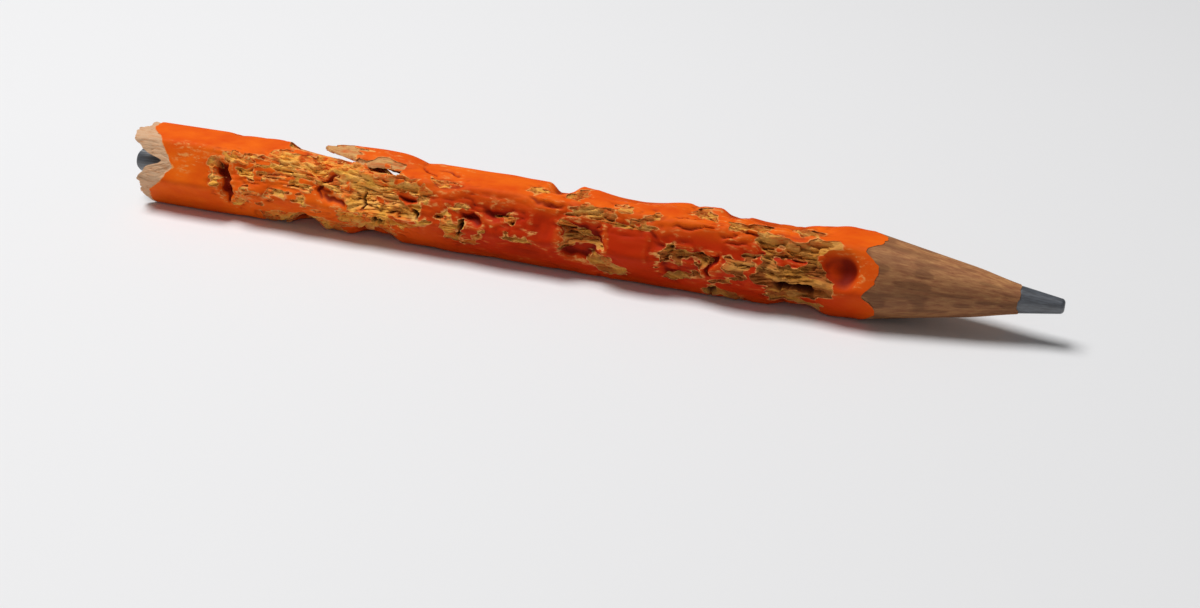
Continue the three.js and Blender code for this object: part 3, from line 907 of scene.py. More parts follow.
    def sharpened_margin(self, along: Array, around: Array, outside: Array) -> Array:
        """Distance behind the edge that the sharpener left on the lacquer, in millimetres."""
        sharpened = (self.cone(along) - outside) / POINT_SLOPE * 0.4
        return sharpened + self.sharpened_edge.at(self.ragged, along, around)

    def paint_margin(self, along: Array, around: Array, outside: Array) -> Array:
        """Distance inside all of the lacquer's outline in millimetres, negative where there is none."""
        torn = self.torn_margin(along, around, outside)
        return np.minimum(torn, self.sharpened_margin(along, around, outside))

    def fibre_gaps(self, along: Array, around: Array) -> Array:
        """Depth of the gaps between torn fibres, along a grain that bends a little.

        Args:
            along: Places along the barrel.
            around: Places around the barrel.

        Returns:
            The depth below the proudest fibres, in millimetres.
        """
        aside = sum(bend.at(self.sway, along, around) for bend in self.grain_bends)
        grain = around + np.degrees(aside / HALF_FLATS)
        gaps = self.bundle_gap * (1.0 - self.bundles.height(along, grain))
        gaps = gaps + self.strand_gap * (1.0 - self.strands.height(along, grain))
        return gaps + self.thread_gap * (1.0 - self.threads.height(along, grain))

    def wood_outside(self, along: Array, around: Array) -> tuple[Array, Array]:
        """Outer radius of the wood, with the lacquer's margin there.

        Args:
            along: Places along the barrel.
            around: Places around the barrel.

        Returns:
            The radius, and the distance inside the lacquer's torn outline.
        """
        outside = self.lacquer_outside(along, around)
        margin = self.torn_margin(along, around, outside)
        covered = np.minimum(margin, self.sharpened_margin(along, around, outside))
        gaps = self.fibre_gaps(along, around)
        clumps = sum(clump.at(self.swell, along, around) for clump in self.clumps)
        share = self.unchewed_gap_share
        torn = smooth_step(margin, 0.05, -0.25) * (share + (1.0 - share) * self.chewing(along))
        depth = torn * (gaps + clumps - self.mean_gap)
        place = self.strayed(along, around)
        for mark in TEARS:
            depth = depth + self.tear_depth_share * mark.hollow(*place)
        for mark in CUTS:
            depth = depth + mark.hollow(*place)
        radius = np.minimum(self.lacquer_inside(outside, covered) - depth, self.hexagon(around))
        split_gaps = self.split_gap_share * (gaps - self.split_mean_gap)
        radius = np.minimum(radius, self.split.floor_radius(along, around) - split_gaps)
        radius = np.maximum(radius, BORE_RADIUS + LEAST_WOOD_OVER_LEAD)
        lines = self.score_depth * (1.0 - self.strands.height(along / self.score_length, around))
        front = smooth_step(along, WOOD_FRONT_ALONG - self.front_thinning_length, WOOD_FRONT_ALONG)
        return np.minimum(radius, self.cone(along) - lines - self.front_thinning * front), margin


class SheetGrid:
    """A bmesh grid whose vertices are known by their row and column."""

    def __init__(self, rows: int, columns: int) -> None:
        """Makes the grid.

        Args:
            rows: Number of faces along the rows' direction.
            columns: Number of faces across it.
        """
        self.mesh = bmesh.new()
        bmesh.ops.create_grid(self.mesh, x_segments=columns, y_segments=rows, size=1.0)
        self.index = self.mesh.verts.layers.int.new("grid_index")
        for number, vert in enumerate(self.mesh.verts):
            vert[self.index] = number

    def shape(self, places: Array, values: dict[str, Array] | None = None) -> None:
        """Puts each vertex in its place and notes values on it.

        Args:
            places: Points by row and column.
            values: Named values by row and column, for the finishes.
        """
        for vert, place in zip(self.mesh.verts, places.reshape(-1, 3).tolist()):
            vert.co = place
        for name, table in (values or {}).items():
            layer = self.mesh.verts.layers.float.new(name)
            for vert, value in zip(self.mesh.verts, table.reshape(-1).tolist()):
                vert[layer] = value

    def drop_faces(self, kept: Array) -> None:
        """Deletes the faces that are not kept.

        Args:
            kept: True or false by row and column of faces.
        """
        flags = kept.reshape(-1).tolist()
        unwanted = [face for face, keep in zip(self.mesh.faces[:], flags) if not keep]
        bmesh.ops.delete(self.mesh, geom=unwanted, context="FACES")

    def close(self, cap: bool) -> None:
        """Merges the seams and, where asked, fills the open ends.

        Args:
            cap: Whether to fill the open ends.
        """
        bmesh.ops.remove_doubles(self.mesh, verts=self.mesh.verts[:], dist=SEAM_WIDTH)
        if cap:
            edges = [edge for edge in self.mesh.edges if edge.is_boundary]
            bmesh.ops.holes_fill(self.mesh, edges=edges, sides=0)
        bmesh.ops.recalc_face_normals(self.mesh, faces=self.mesh.faces[:])


def finish_piece(name: str, mesh: bmesh.types.BMesh, finishes: Sequence[bpy.types.Material],
                 replaced: Sequence[str] = (), sharp: float = 60.0) -> bpy.types.Object:
    """Makes an object of a bmesh, dresses it and sets it on the frame.

    Args:
        name: The piece's name.
        mesh: Its shape, which is freed here.
        finishes: Its materials, by material index.
        replaced: The CAD nodes that it stands for.
        sharp: Edges with a larger angle than this stay sharp, in degrees.

    Returns:
        The new object.
    """
    data = bpy.data.meshes.new(name)
    for face in mesh.faces:
        face.smooth = True
    mesh.to_mesh(data)
    mesh.free()
    data.set_sharp_from_angle(angle=math.radians(sharp))
    for finish in finishes:
        data.materials.append(finish)
    piece = bpy.data.objects.new(name, data)
    bpy.context.scene.collection.objects.link(piece)
    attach(piece, BODY)
    if replaced:
        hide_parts(*replaced)
    return piece


def linear(hex_colour: str) -> tuple[float, float, float, float]:
    """Turns an sRGB hex value into a linear colour.

    Args:
        hex_colour: Six hex digits.

    Returns:
        Red, green, blue and alpha.
    """
    channels = [int(hex_colour[i:i + 2], 16) / 255 for i in (0, 2, 4)]
    red, green, blue = [c / 12.92 if c <= 0.04045 else ((c + 0.055) / 1.055) ** 2.4 for c in channels]
    return red, green, blue, 1.0


def add_node(tree: bpy.types.NodeTree, kind: str, inputs: dict[str | int, Any] | None = None,
             **settings: Any) -> bpy.types.Node:
    """Adds a node with its settings and links.

    Args:
        tree: The node tree.
        kind: The node's type.
        inputs: Values or output sockets, by input name or number.
        settings: The node's own properties.

    Returns:
        The new node.
    """
    node = tree.nodes.new(kind)
    for name, value in settings.items():
        setattr(node, name, value)
    for name, value in (inputs or {}).items():
        if isinstance(value, bpy.types.NodeSocket):
            tree.links.new(value, node.inputs[name])
        else:
            node.inputs[name].default_value = value
    return node


def per_size(*millimetres: float) -> tuple[float, ...]:
    """Pattern scales for real sizes in millimetres, on coordinates in metres."""
    return tuple(1.0 / (size * MM) for size in millimetres)


@dataclass(frozen=True)
class Finish:
    """What every finish starts from: a Principled material, and the steps that lay its colours on."""

    name: str
    roughness: float
    specular: float = 0.5
    refraction: float = 1.5

    def start(self) -> tuple[bpy.types.Material, bpy.types.NodeTree, bpy.types.Node, bpy.types.NodeSocket]:
        """Makes the material.

        Returns:
            The material, its node tree, its shader and its Object coordinates.
        """
        material = bpy.data.materials.new(self.name)
        material.use_nodes = True
        tree = material.node_tree
        place = add_node(tree, "ShaderNodeTexCoord").outputs["Object"]
        return material, tree, tree.nodes["Principled BSDF"], place

    def streaks(self, tree: bpy.types.NodeTree, place: bpy.types.NodeSocket, length: float, width: float,
                detail: float) -> bpy.types.NodeSocket:
        """Draws an uneven pattern out along the pencil.

        Args:
            tree: The node tree.
            place: Object coordinates.
            length: Size of a streak along the pencil, in millimetres.
            width: Its size across, in millimetres.
            detail: How fine its unevenness goes.

        Returns:
            The pattern's value.
        """
        scale = per_size(length, width, width)
        drawn = add_node(tree, "ShaderNodeMapping", {"Vector": place, "Scale": scale})
        noise = add_node(tree, "ShaderNodeTexNoise", {
            "Vector": drawn.outputs["Vector"], "Scale": 1.0, "Detail": detail, "Roughness": 0.6})
        return noise.outputs["Fac"]

    def lay(self, tree: bpy.types.NodeTree, below: str | bpy.types.NodeSocket, above: str,
            value: bpy.types.NodeSocket, low: float = 0.0, high: float = 1.0,
            most: float = 1.0) -> bpy.types.NodeSocket:
        """Lays a colour over another where a value runs from low to high.

        Args:
            tree: The node tree.
            below: The colour below, a hex value or a socket.
            above: The colour to lay on.
            value: What says where.
            low: The value at which nothing is laid on.
            high: The value at which the most is laid on.
            most: The largest share of the upper colour.

        Returns:
            The colour.
        """
        share = add_node(tree, "ShaderNodeMapRange", {
            "Value": value, "From Min": low, "From Max": high, "To Min": 0.0, "To Max": most})
        mixed = add_node(tree, "ShaderNodeMix", {
            MIX_SHARE: share.outputs[0],
            MIX_BELOW: linear(below) if isinstance(below, str) else below,
            MIX_ABOVE: linear(above),
        }, data_type="RGBA")
        return mixed.outputs[MIX_RESULT]

    def dress(self, tree: bpy.types.NodeTree, shader: bpy.types.Node, colour: bpy.types.NodeSocket,
              relief: bpy.types.NodeSocket | None = None, strength: float = 0.0, height: float = 0.0) -> None:
        """Puts the colour, the sheen and a fine relief on the shader.

        Args:
            tree: The node tree.
            shader: The shader.
            colour: The finished colour.
            relief: The pattern that stands out in relief, if any.
            strength: How strongly the relief shows.
            height: How high the relief is, in millimetres.
        """
        tree.links.new(colour, shader.inputs["Base Color"])
        shader.inputs["Roughness"].default_value = self.roughness
        shader.inputs["Specular IOR Level"].default_value = self.specular
        shader.inputs["IOR"].default_value = self.refraction
        if relief is not None:
            bump = add_node(tree, "ShaderNodeBump", {
                "Height": relief, "Strength": strength, "Distance": height * MM})
            tree.links.new(bump.outputs["Normal"], shader.inputs["Normal"])


@dataclass(frozen=True)
class GnawedCedar(Finish):
    """Incense cedar torn by teeth: ochre and brown fibres along the grain, with a straw painted highlight on
    the crests and painted shade dark down in the gaps and cuts.

    Lacquer that rubbed into the fibres near its edges leaves rusty orange, and the fresh rear break is paler.
    It is darker towards the front and with smears, and with painted shade on the near lower side.
    """

    name: str = "cedar_gnawed"
    # Painted highlight on the crests of the torn fibres.
    straw_highlight: str = "FFE08A"
    ochre: str = "FFB848"
    tan: str = "F6B85E"
    brown: str = "C4702C"
    # Painted shade: dark in the gaps between fibres, darker down in the tooth cuts.
    gap: str = "541A06"
    cut: str = "260806"
    rust: str = "EA5A0A"
    # Laid darker towards the front, with smears, and as painted shade on the near lower side.
    grime_and_shade: str = "96501C"
    fresh: str = "D6AE8A"
    roughness: float = 0.82
    specular: float = 0.2

    def make(self) -> bpy.types.Material:
        """Builds the material.

        Returns:
            The new material.
        """
        material, tree, shader, place = self.start()
        hollow, stain, fresh, grime_and_shade = (
            add_node(tree, "ShaderNodeAttribute", attribute_name=name).outputs["Fac"]
            for name in ("hollow", "stain", "fresh", "grime_and_shade"))
        # Single fibres are finer than this; they are drawn as bundles that still show from a step away.
        fibres = self.streaks(tree, place, length=1.1, width=0.1, detail=4.0)
        patches = self.streaks(tree, place, length=3.0, width=1.0, detail=3.0)
        wood = self.lay(tree, self.ochre, self.tan, patches, low=0.4, high=0.62)
        wood = self.lay(tree, wood, self.fresh, fresh)
        wood = self.lay(tree, wood, self.brown, fibres, low=0.48, high=0.72, most=0.7)
        # Painted highlight: crests that stand above their surroundings are laid paler.
        wood = self.lay(tree, wood, self.straw_highlight, hollow, low=-0.02, high=-0.16, most=0.75)
        rubbed = add_node(tree, "ShaderNodeMapRange", {"Value": fibres, "From Min": 0.64, "From Max": 0.42})
        rubbed = add_node(tree, "ShaderNodeMath", {0: stain, 1: rubbed.outputs[0]}, operation="MULTIPLY")
        wood = self.lay(tree, wood, self.rust, rubbed.outputs[0])
        # Darker towards the front and with smears, and painted shade on the near lower side.
        wood = self.lay(tree, wood, self.grime_and_shade, grime_and_shade)
        # Painted shade: gaps and cuts, which lie below their surroundings, are laid dark.
        wood = self.lay(tree, wood, self.gap, hollow, low=0.06, high=0.36, most=0.9)
        wood = self.lay(tree, wood, self.cut, hollow, low=0.36, high=0.6, most=0.9)
        self.dress(tree, shader, wood, relief=fibres, strength=0.7, height=0.06)
        return material


@dataclass(frozen=True)
class SharpenedCedar(Finish):
    """Incense cedar cut by a sharpener: reddish brown, with fine dark streaks and pores along the grain."""

    name: str = "cedar_sharpened"
    light: str = "C08A58"
    dark: str = "8A4C32"
    pore: str = "5E3422"
    ring: str = "7C4A34"
    # Laid with smears, and as painted shade on the near lower side.
    grime_and_shade: str = "54301E"
    roughness: float = 0.62
    specular: float = 0.2

    def make(self) -> bpy.types.Material:
        """Builds the material.

        Returns:
            The new material.
        """
        material, tree, shader, place = self.start()
        grime_and_shade = add_node(tree, "ShaderNodeAttribute", attribute_name="grime_and_shade").outputs["Fac"]
        streaks = self.streaks(tree, place, length=14.0, width=0.18, detail=4.0)
        rings = self.streaks(tree, place, length=24.0, width=0.7, detail=2.0)
        pores = self.streaks(tree, place, length=2.6, width=0.08, detail=1.0)
        wood = self.lay(tree, self.light, self.dark, streaks, low=0.32, high=0.74, most=0.85)
        wood = self.lay(tree, wood, self.ring, rings, low=0.46, high=0.66, most=0.45)
        wood = self.lay(tree, wood, self.pore, pores, low=0.64, high=0.8, most=0.5)
        # Darker with smears, and painted shade on the near lower side.
        wood = self.lay(tree, wood, self.grime_and_shade, grime_and_shade, low=0.3, high=0.9, most=0.6)
        self.dress(tree, shader, wood, relief=streaks, strength=0.5, height=0.04)
        return material


@dataclass(frozen=True)
class DippedLacquer(Finish):
    """Cellulose lacquer put on in dips: even orange with a low gloss.

    It has crazed pale along its torn edges, where it was scraped and in chips on the crests that the teeth
    pushed up. It is painted redder and darker on the near lower side as painted shade, and dark in the dents
    with dirt and painted shade.
    """

    name: str = "lacquer_orange_dipped"
    orange: str = "F26A0C"
    deep: str = "E04E04"
    # Painted shade: the redder, darker orange laid on the near lower side.
    side_shade: str = "B82200"
    pale: str = "EDAC60"
    crest: str = "F4781E"
    # Dirt and painted shade in the dents.
    dirt_and_shade: str = "781204"
    roughness: float = 0.6
    smoother: float = 0.06
    rougher: float = 0.12
    specular: float = 0.08

    def make(self) -> bpy.types.Material:
        """Builds the material.

        Returns:
            The new material.
        """
        material, tree, shader, place = self.start()
        hollow, sunk, margin, scrape, grime_and_shade = (
            add_node(tree, "ShaderNodeAttribute", attribute_name=name).outputs["Fac"]
            for name in ("hollow", "sunk", "margin", "scrape", "grime_and_shade"))
        crazing = self.streaks(tree, place, length=0.5, width=0.22, detail=4.0)
        clouds = self.streaks(tree, place, length=4.0, width=2.5, detail=3.0)
        fringe = self.streaks(tree, place, length=1.3, width=0.7, detail=2.0)
        specks = self.streaks(tree, place, length=0.9, width=0.3, detail=3.0)
        paint = self.lay(tree, self.orange, self.deep, clouds, low=0.3, high=0.7)
        # Painted shade: the near lower side is laid redder and darker.
        paint = self.lay(tree, paint, self.side_shade, grime_and_shade)
        paint = self.lay(tree, paint, self.crest, hollow, low=-0.02, high=-0.12, most=0.2)
        # Dirt and painted shade darken the dents, by how far the lacquer is sunk and how far it lies below
        # its surroundings.
        paint = self.lay(tree, paint, self.dirt_and_shade, sunk, low=0.4, high=1.3, most=0.6)
        paint = self.lay(tree, paint, self.dirt_and_shade, hollow, low=0.01, high=0.17, most=0.85)
        # The torn edge is frayed for a width that changes along it.
        frayed = add_node(tree, "ShaderNodeMapRange", {
            "Value": fringe, "From Min": 0.45, "From Max": 0.6, "To Min": 0.03, "To Max": 0.26})
        edge = add_node(tree, "ShaderNodeMapRange", {
            "Value": margin, "From Min": 0.0, "From Max": frayed.outputs[0], "To Min": 1.0, "To Max": 0.0})
        crests = add_node(tree, "ShaderNodeMapRange", {"Value": hollow, "From Min": -0.03, "From Max": -0.09})
        flecks = add_node(tree, "ShaderNodeMapRange", {
            "Value": specks, "From Min": 0.5, "From Max": 0.64, "To Max": 0.75})
        grit = add_node(tree, "ShaderNodeMapRange", {"Value": crazing, "From Min": 0.36, "From Max": 0.56})
        # What is rubbed shows in flecks, and the frayed edge shows whole; the grit breaks up both.
        worn = add_node(tree, "ShaderNodeMath", {0: crests.outputs[0], 1: scrape}, operation="MAXIMUM")
        for step, operation in ((flecks, "MULTIPLY"), (edge, "MAXIMUM"), (grit, "MULTIPLY")):
            both = {0: worn.outputs[0], 1: step.outputs[0]}
            worn = add_node(tree, "ShaderNodeMath", both, operation=operation)
        paint = self.lay(tree, paint, self.pale, worn.outputs[0])
        rough = add_node(tree, "ShaderNodeMapRange", {
            "Value": crazing, "From Min": 0.3, "From Max": 0.7,
            "To Min": self.roughness - self.smoother, "To Max": self.roughness + self.rougher})
        self.dress(tree, shader, paint, relief=crazing, strength=0.3, height=0.04)
        tree.links.new(rough.outputs[0], shader.inputs["Roughness"])
        return material


@dataclass(frozen=True)
class CreamUndercoat(Finish):
    """Chalky filler under the lacquer: matt cream, seen only on the lacquer's broken edges."""

    name: str = "undercoat_cream"
    cream: str = "E6B070"
    stained: str = "CC6A28"
    roughness: float = 0.85

    def make(self) -> bpy.types.Material:
        """Builds the material.

        Returns:
            The new material.
        """
        material, tree, shader, place = self.start()
        patches = self.streaks(tree, place, length=0.5, width=0.3, detail=2.0)
        chalk = self.lay(tree, self.cream, self.stained, patches)
        self.dress(tree, shader, chalk)
        return material


@dataclass(frozen=True)
class FiredGraphite(Finish):
    """Fired graphite and clay: dark grey with a satin sheen, scored finely where the sharpener turned it."""

    name: str = "graphite_fired"
    dark: str = "34373D"
    light: str = "585D65"
    roughness: float = 0.42
    refraction: float = 1.9

    def make(self) -> bpy.types.Material:
        """Builds the material.

        Returns:
            The new material.
        """
        material, tree, shader, place = self.start()
        scores = self.streaks(tree, place, length=2.5, width=0.14, detail=3.0)
        grey = self.lay(tree, self.dark, self.light, scores, low=0.35, high=0.7)
        self.dress(tree, shader, grey, relief=scores, strength=0.3, height=0.03)
        return material


class SlatSide(Enum):
    """Which half of the casing a slat is: its CAD node and where it starts round the barrel."""

    UPPER = ("upper_slat", -90.0)
    LOWER = ("lower_slat", 90.0)


@dataclass
class WoodCasing:
    """The two glued slats of cedar, gnawed along the barrel, broken at the rear and sharpened in front."""

    barrel: ChewedBarrel
    columns: int = 132
    rear_rows: int = 9
    barrel_rows: int = 648
    cone_rows: int = 54
    bore_rows: int = 8
    even_from: float = 7.0
    shoulder: float = 75.0
    jags: WoodFibres = field(default_factory=lambda: WoodFibres(41, 0.5, 40.0))
    jag_depth: float = 0.3
    rim_wave: Ripple = Ripple(0.3, 1.0, 0.9)
    front_wave: Ripple = Ripple(0.14, 1.0, 1.6)
    front_setback: float = 0.05
    break_fibres: float = 0.4
    break_fibre_length: float = 3.0
    # Where lacquer rubbed into the fibres beside its edges, and where it smeared further out.
    rubbed: Ripple = Ripple(1.0, 1.2, 0.4)
    smears: Ripple = Ripple(1.0, 1.7, 0.6, 50.0)
    # How dark the tooth cuts are painted, as painted shade, given as the depth of a hollow.
    cut_shade: float = 0.6

    def outer_rows(self, around: Array) -> Array:
        """Where the outer rows lie along the barrel, from the broken rim to the feathered front edge.

        Args:
            around: Angles of the columns.

        Returns:
            Places along the barrel by row and column.
        """
        end = 0.0 * around
        rim = self.barrel.rim(BREAK_RIM, around) + self.jag_depth * (0.5 - self.jags.height(end, around))
        rim = rim + self.rim_wave.at(self.barrel.swell, end, around)
        even = np.linspace(0.0, self.shoulder, self.barrel_rows)[:, None]
        share = np.clip(even / self.even_from, 0.0, 1.0)
        body = np.where(share < 1.0, rim + (self.even_from - rim) * share, even)
        ragged = self.front_wave.at(self.barrel.ragged, end, around)
        front = WOOD_FRONT_ALONG - self.front_setback + np.clip(ragged, -0.2, self.front_setback)
        cone = self.shoulder + (front - self.shoulder) * np.linspace(0.0, 1.0, self.cone_rows + 1)[1:, None]
        return np.concatenate([body, cone])

    def build(self, side: SlatSide, finishes: Sequence[bpy.types.Material]) -> bpy.types.Object:
        """Makes one slat as a closed loop of rows: rear break, outside, point and lead groove.

        Args:
            side: Which slat.
            finishes: Gnawed and sharpened wood.

        Returns:
            The slat.
        """
        barrel = self.barrel
        node, first = side.value
        around = angles_round(first, first + 180.0, self.columns)[None, :]
        outer = self.outer_rows(around)
        wide = np.broadcast_to(around, outer.shape)
        radius, margin = barrel.wood_outside(outer, wide)
        share = np.linspace(0.0, 1.0, self.rear_rows + 1)[:-1, None]
        rim, rim_radius = outer[:1], radius[:1]
        floor = rim + (BREAK_FLOOR_ALONG - rim) * (1.0 - BORE_RADIUS / rim_radius)
        across = np.broadcast_to(around, (len(share), around.size))
        torn = self.break_fibres * barrel.strands.height(share * self.break_fibre_length, across)
        rear = floor + (rim - floor) * share + torn * np.sin(math.pi * share)
        rear_radius = BORE_RADIUS + (rim_radius - BORE_RADIUS) * share
        bore = outer[-1:] + (floor - outer[-1:]) * np.linspace(0.0, 1.0, self.bore_rows + 1)[1:, None]
        along = np.concatenate([rear, outer, outer[-1:], bore])
        groove = np.full((self.bore_rows + 1, around.size), BORE_RADIUS)
        groove[0] = LEAD_RADIUS
        radii = np.concatenate([rear_radius, radius, groove])
        rubbed = smooth_step(self.rubbed.at(barrel.sway, outer, wide), 0.0, 0.45)
        rubbed = smooth_step(margin, -0.9, -0.1) * rubbed
        smears = smooth_step(self.smears.at(barrel.sway, outer, wide), 0.12, 0.42)
        sharpened = barrel.cone(outer) < barrel.lacquer_outside(outer, wide) + 0.1
        cuts = self.cut_shade * smooth_step(barrel.cut_margin(outer, wide), -0.05, 0.25)
        # The hollow note paints shade into gaps, cuts and the lead's groove, and paints highlight on crests.
        hollow = np.maximum(below_surroundings(radius - barrel.hexagon(wide), 4, 5), cuts)
        # Darker towards the front and with the smears, and painted shade on the near lower side.
        grime_and_shade = smooth_step(outer, 20.0, 66.0) * (0.3 + 0.3 * smears + 0.3 * side_shade(wide))
        # What is noted on the rear break, on the outside and in the groove for the lead.
        notes = {
            "hollow": (0.05, hollow, 0.1),
            "stain": (0.0, np.maximum(smears, rubbed) * barrel.chewing(outer), 0.0),
            "fresh": (1.0, smooth_step(outer, 8.5, 6.0), 0.0),
            "grime_and_shade": (0.0, grime_and_shade, 0.0),
            "sharpened": (0.0, sharpened.astype(float), 1.0),
        }
        values = {name: np.concatenate([np.full(rear.shape, back), middle, np.full(groove.shape, inside)])
                  for name, (back, middle, inside) in notes.items()}
        grid = SheetGrid(len(along) - 1, self.columns)
        grid.shape(barrel.places(along, around, radii), values)
        grid.close(cap=True)
        layer = grid.mesh.verts.layers.float["sharpened"]
        for face in grid.mesh.faces:
            # The two glue faces that were filled in have more corners, and stay gnawed wood.
            if len(face.verts) == 4:
                face.material_index = int(sum(vert[layer] for vert in face.verts) > 2.0)
        return finish_piece(node + "_wood", grid.mesh, finishes, [node])


@dataclass
class LacquerCoat:
    """The lacquer that is left: a thin skin over the dents, torn open in ragged patches."""

    barrel: ChewedBarrel
    columns: int = 140
    # Start, end and row height of the stretches along the barrel.
    stretches: Sequence[tuple[float, float, float]] = (
        (1.6, 9.0, 0.26), (9.0, 70.6, 0.13), (70.6, 75.0, 0.18))
    # How often stray faces are dropped and small holes filled, by the share of faces that is kept round them.
    smoothings: int = 2
    kept_from: float = 0.4
    filled_from: float = 0.6
    snap: float = 0.1
    nudge: float = 0.02
    least_slope: float = 0.15
    # Loose edges curl up a little.
    curl: float = 0.07
    loose: Ripple = Ripple(1.0, 1.3, 0.9)
    curl_width: float = 0.4
    # How strongly the near lower side is painted darker, as painted shade.
    side_shade_strength: float = 0.9
    # The largest angle between faces that are merged on the hidden underside, in degrees.
    merged_angle: float = 8.0

    def rows(self) -> Array:
        """Where the rows lie along the barrel, closer together where it is chewed."""
        return np.concatenate([np.arange(start, end, step) for start, end, step in self.stretches])

    def margin(self, along: Array, around: Array) -> Array:
        """Distance inside the lacquer's outline at each place."""
        return self.barrel.paint_margin(along, around, self.barrel.lacquer_outside(along, around))

    def snapped(self, along: Array, around: Array, margin: Array, kept: Array) -> tuple[Array, Array]:
        """Moves the vertices on torn edges to where the tear runs between the grid's rows and columns.

        Args:
            along: Places along the barrel by row and column.
            around: Places around the barrel.
            margin: Distance inside the torn outline.
            kept: Which faces stay.

        Returns:
            The moved places along and around.
        """
        beside = np.zeros(along.shape, int)
        for row in (0, 1):
            for column in (0, 1):
                beside[row:row + kept.shape[0], column:column + kept.shape[1]] += kept
        edge = (beside > 0) & (beside < 4)
        edge[:, [0, -1]] = False
        here, there = along[edge], around[edge]
        turn = math.degrees(self.nudge / HALF_FLATS)
        slope_along = (self.margin(here + self.nudge, there) - margin[edge]) / self.nudge
        slope_around = (self.margin(here, there + turn) - margin[edge]) / self.nudge
        step = -margin[edge] / np.maximum(slope_along**2 + slope_around**2, self.least_slope)
        along, around = along.copy(), around.copy()
        along[edge] += np.clip(step * slope_along, -self.snap, self.snap)
        around[edge] += np.degrees(np.clip(step * slope_around, -self.snap, self.snap) / HALF_FLATS)
        return along, around

    def build(self, finishes: Sequence[bpy.types.Material]) -> bpy.types.Object:
        """Makes the skin: an inner sheet, extruded out to the lacquer's surface.

        Args:
            finishes: Lacquer and undercoat.

        Returns:
            The coat.
        """
        barrel = self.barrel
        around = angles_round(-180.0, 180.0, self.columns)[None, :]
        along, around = np.broadcast_arrays(self.rows()[:, None], around)
        margin = self.margin(along, around)
        kept = margin[:-1, :-1] + margin[1:, :-1] + margin[:-1, 1:] + margin[1:, 1:] > 0.0
        for _ in range(self.smoothings):
            share = blurred(kept.astype(float), 1, 1)
            kept = np.where(kept, share > self.kept_from, share > self.filled_from)
        along, around = self.snapped(along, around, margin, kept)
        outside = barrel.lacquer_outside(along, around)
        relief = outside - barrel.hexagon(around)
        torn = barrel.torn_margin(along, around, outside)
        aside = barrel.strayed(along, around)
        front = smooth_step(along, 22.0, 40.0) * smooth_step(along, 80.0, 66.0)
        notes = {
            "margin": np.maximum(torn, 0.0),
            # Hollow and sunk darken the dents in the finish with dirt and painted shade.
            "hollow": below_surroundings(relief, 5, 5),
            "sunk": np.clip(barrel.split.raised(along, around) - relief, 0.0, 2.0),
            "scrape": np.max([stroke.closeness(*aside) for stroke in SCRAPES], axis=0),
            # Painted shade on the near lower side, over the middle of the barrel.
            "grime_and_shade": self.side_shade_strength * side_shade(around) * front,
        }
        loose = np.maximum(0.0, self.loose.at(barrel.swell, along, around))
        outside = outside + self.curl * smooth_step(margin, self.curl_width, 0.0) * loose
        outside = np.minimum(outside, barrel.hexagon(around) + barrel.split.raised(along, around))
        places = barrel.places(along, around, outside).reshape(-1, 3).tolist()
        grid = SheetGrid(along.shape[0] - 1, self.columns)
        grid.shape(barrel.places(along, around, barrel.lacquer_inside(outside, margin)), notes)
        grid.drop_faces(kept)
        grid.close(cap=False)
        mesh = grid.mesh
        under = set(mesh.faces)
        made = bmesh.ops.extrude_face_region(mesh, geom=mesh.faces[:], use_keep_orig=True)["geom"]
        for vert in (item for item in made if isinstance(item, bmesh.types.BMVert)):
            vert.co = places[vert[grid.index]]
        top = {item for item in made if isinstance(item, bmesh.types.BMFace)}
        for face in mesh.faces:
            face.material_index = 0 if face in top else 1
        bmesh.ops.recalc_face_normals(mesh, faces=mesh.faces[:])
        hidden = [edge for edge in mesh.edges if all(face in under for face in edge.link_faces)]
        bmesh.ops.dissolve_limit(mesh, angle_limit=math.radians(self.merged_angle), verts=[], edges=hidden)
        return finish_piece("lacquer_coat_skin", mesh, finishes, ["lacquer_coat"], sharp=50.0)


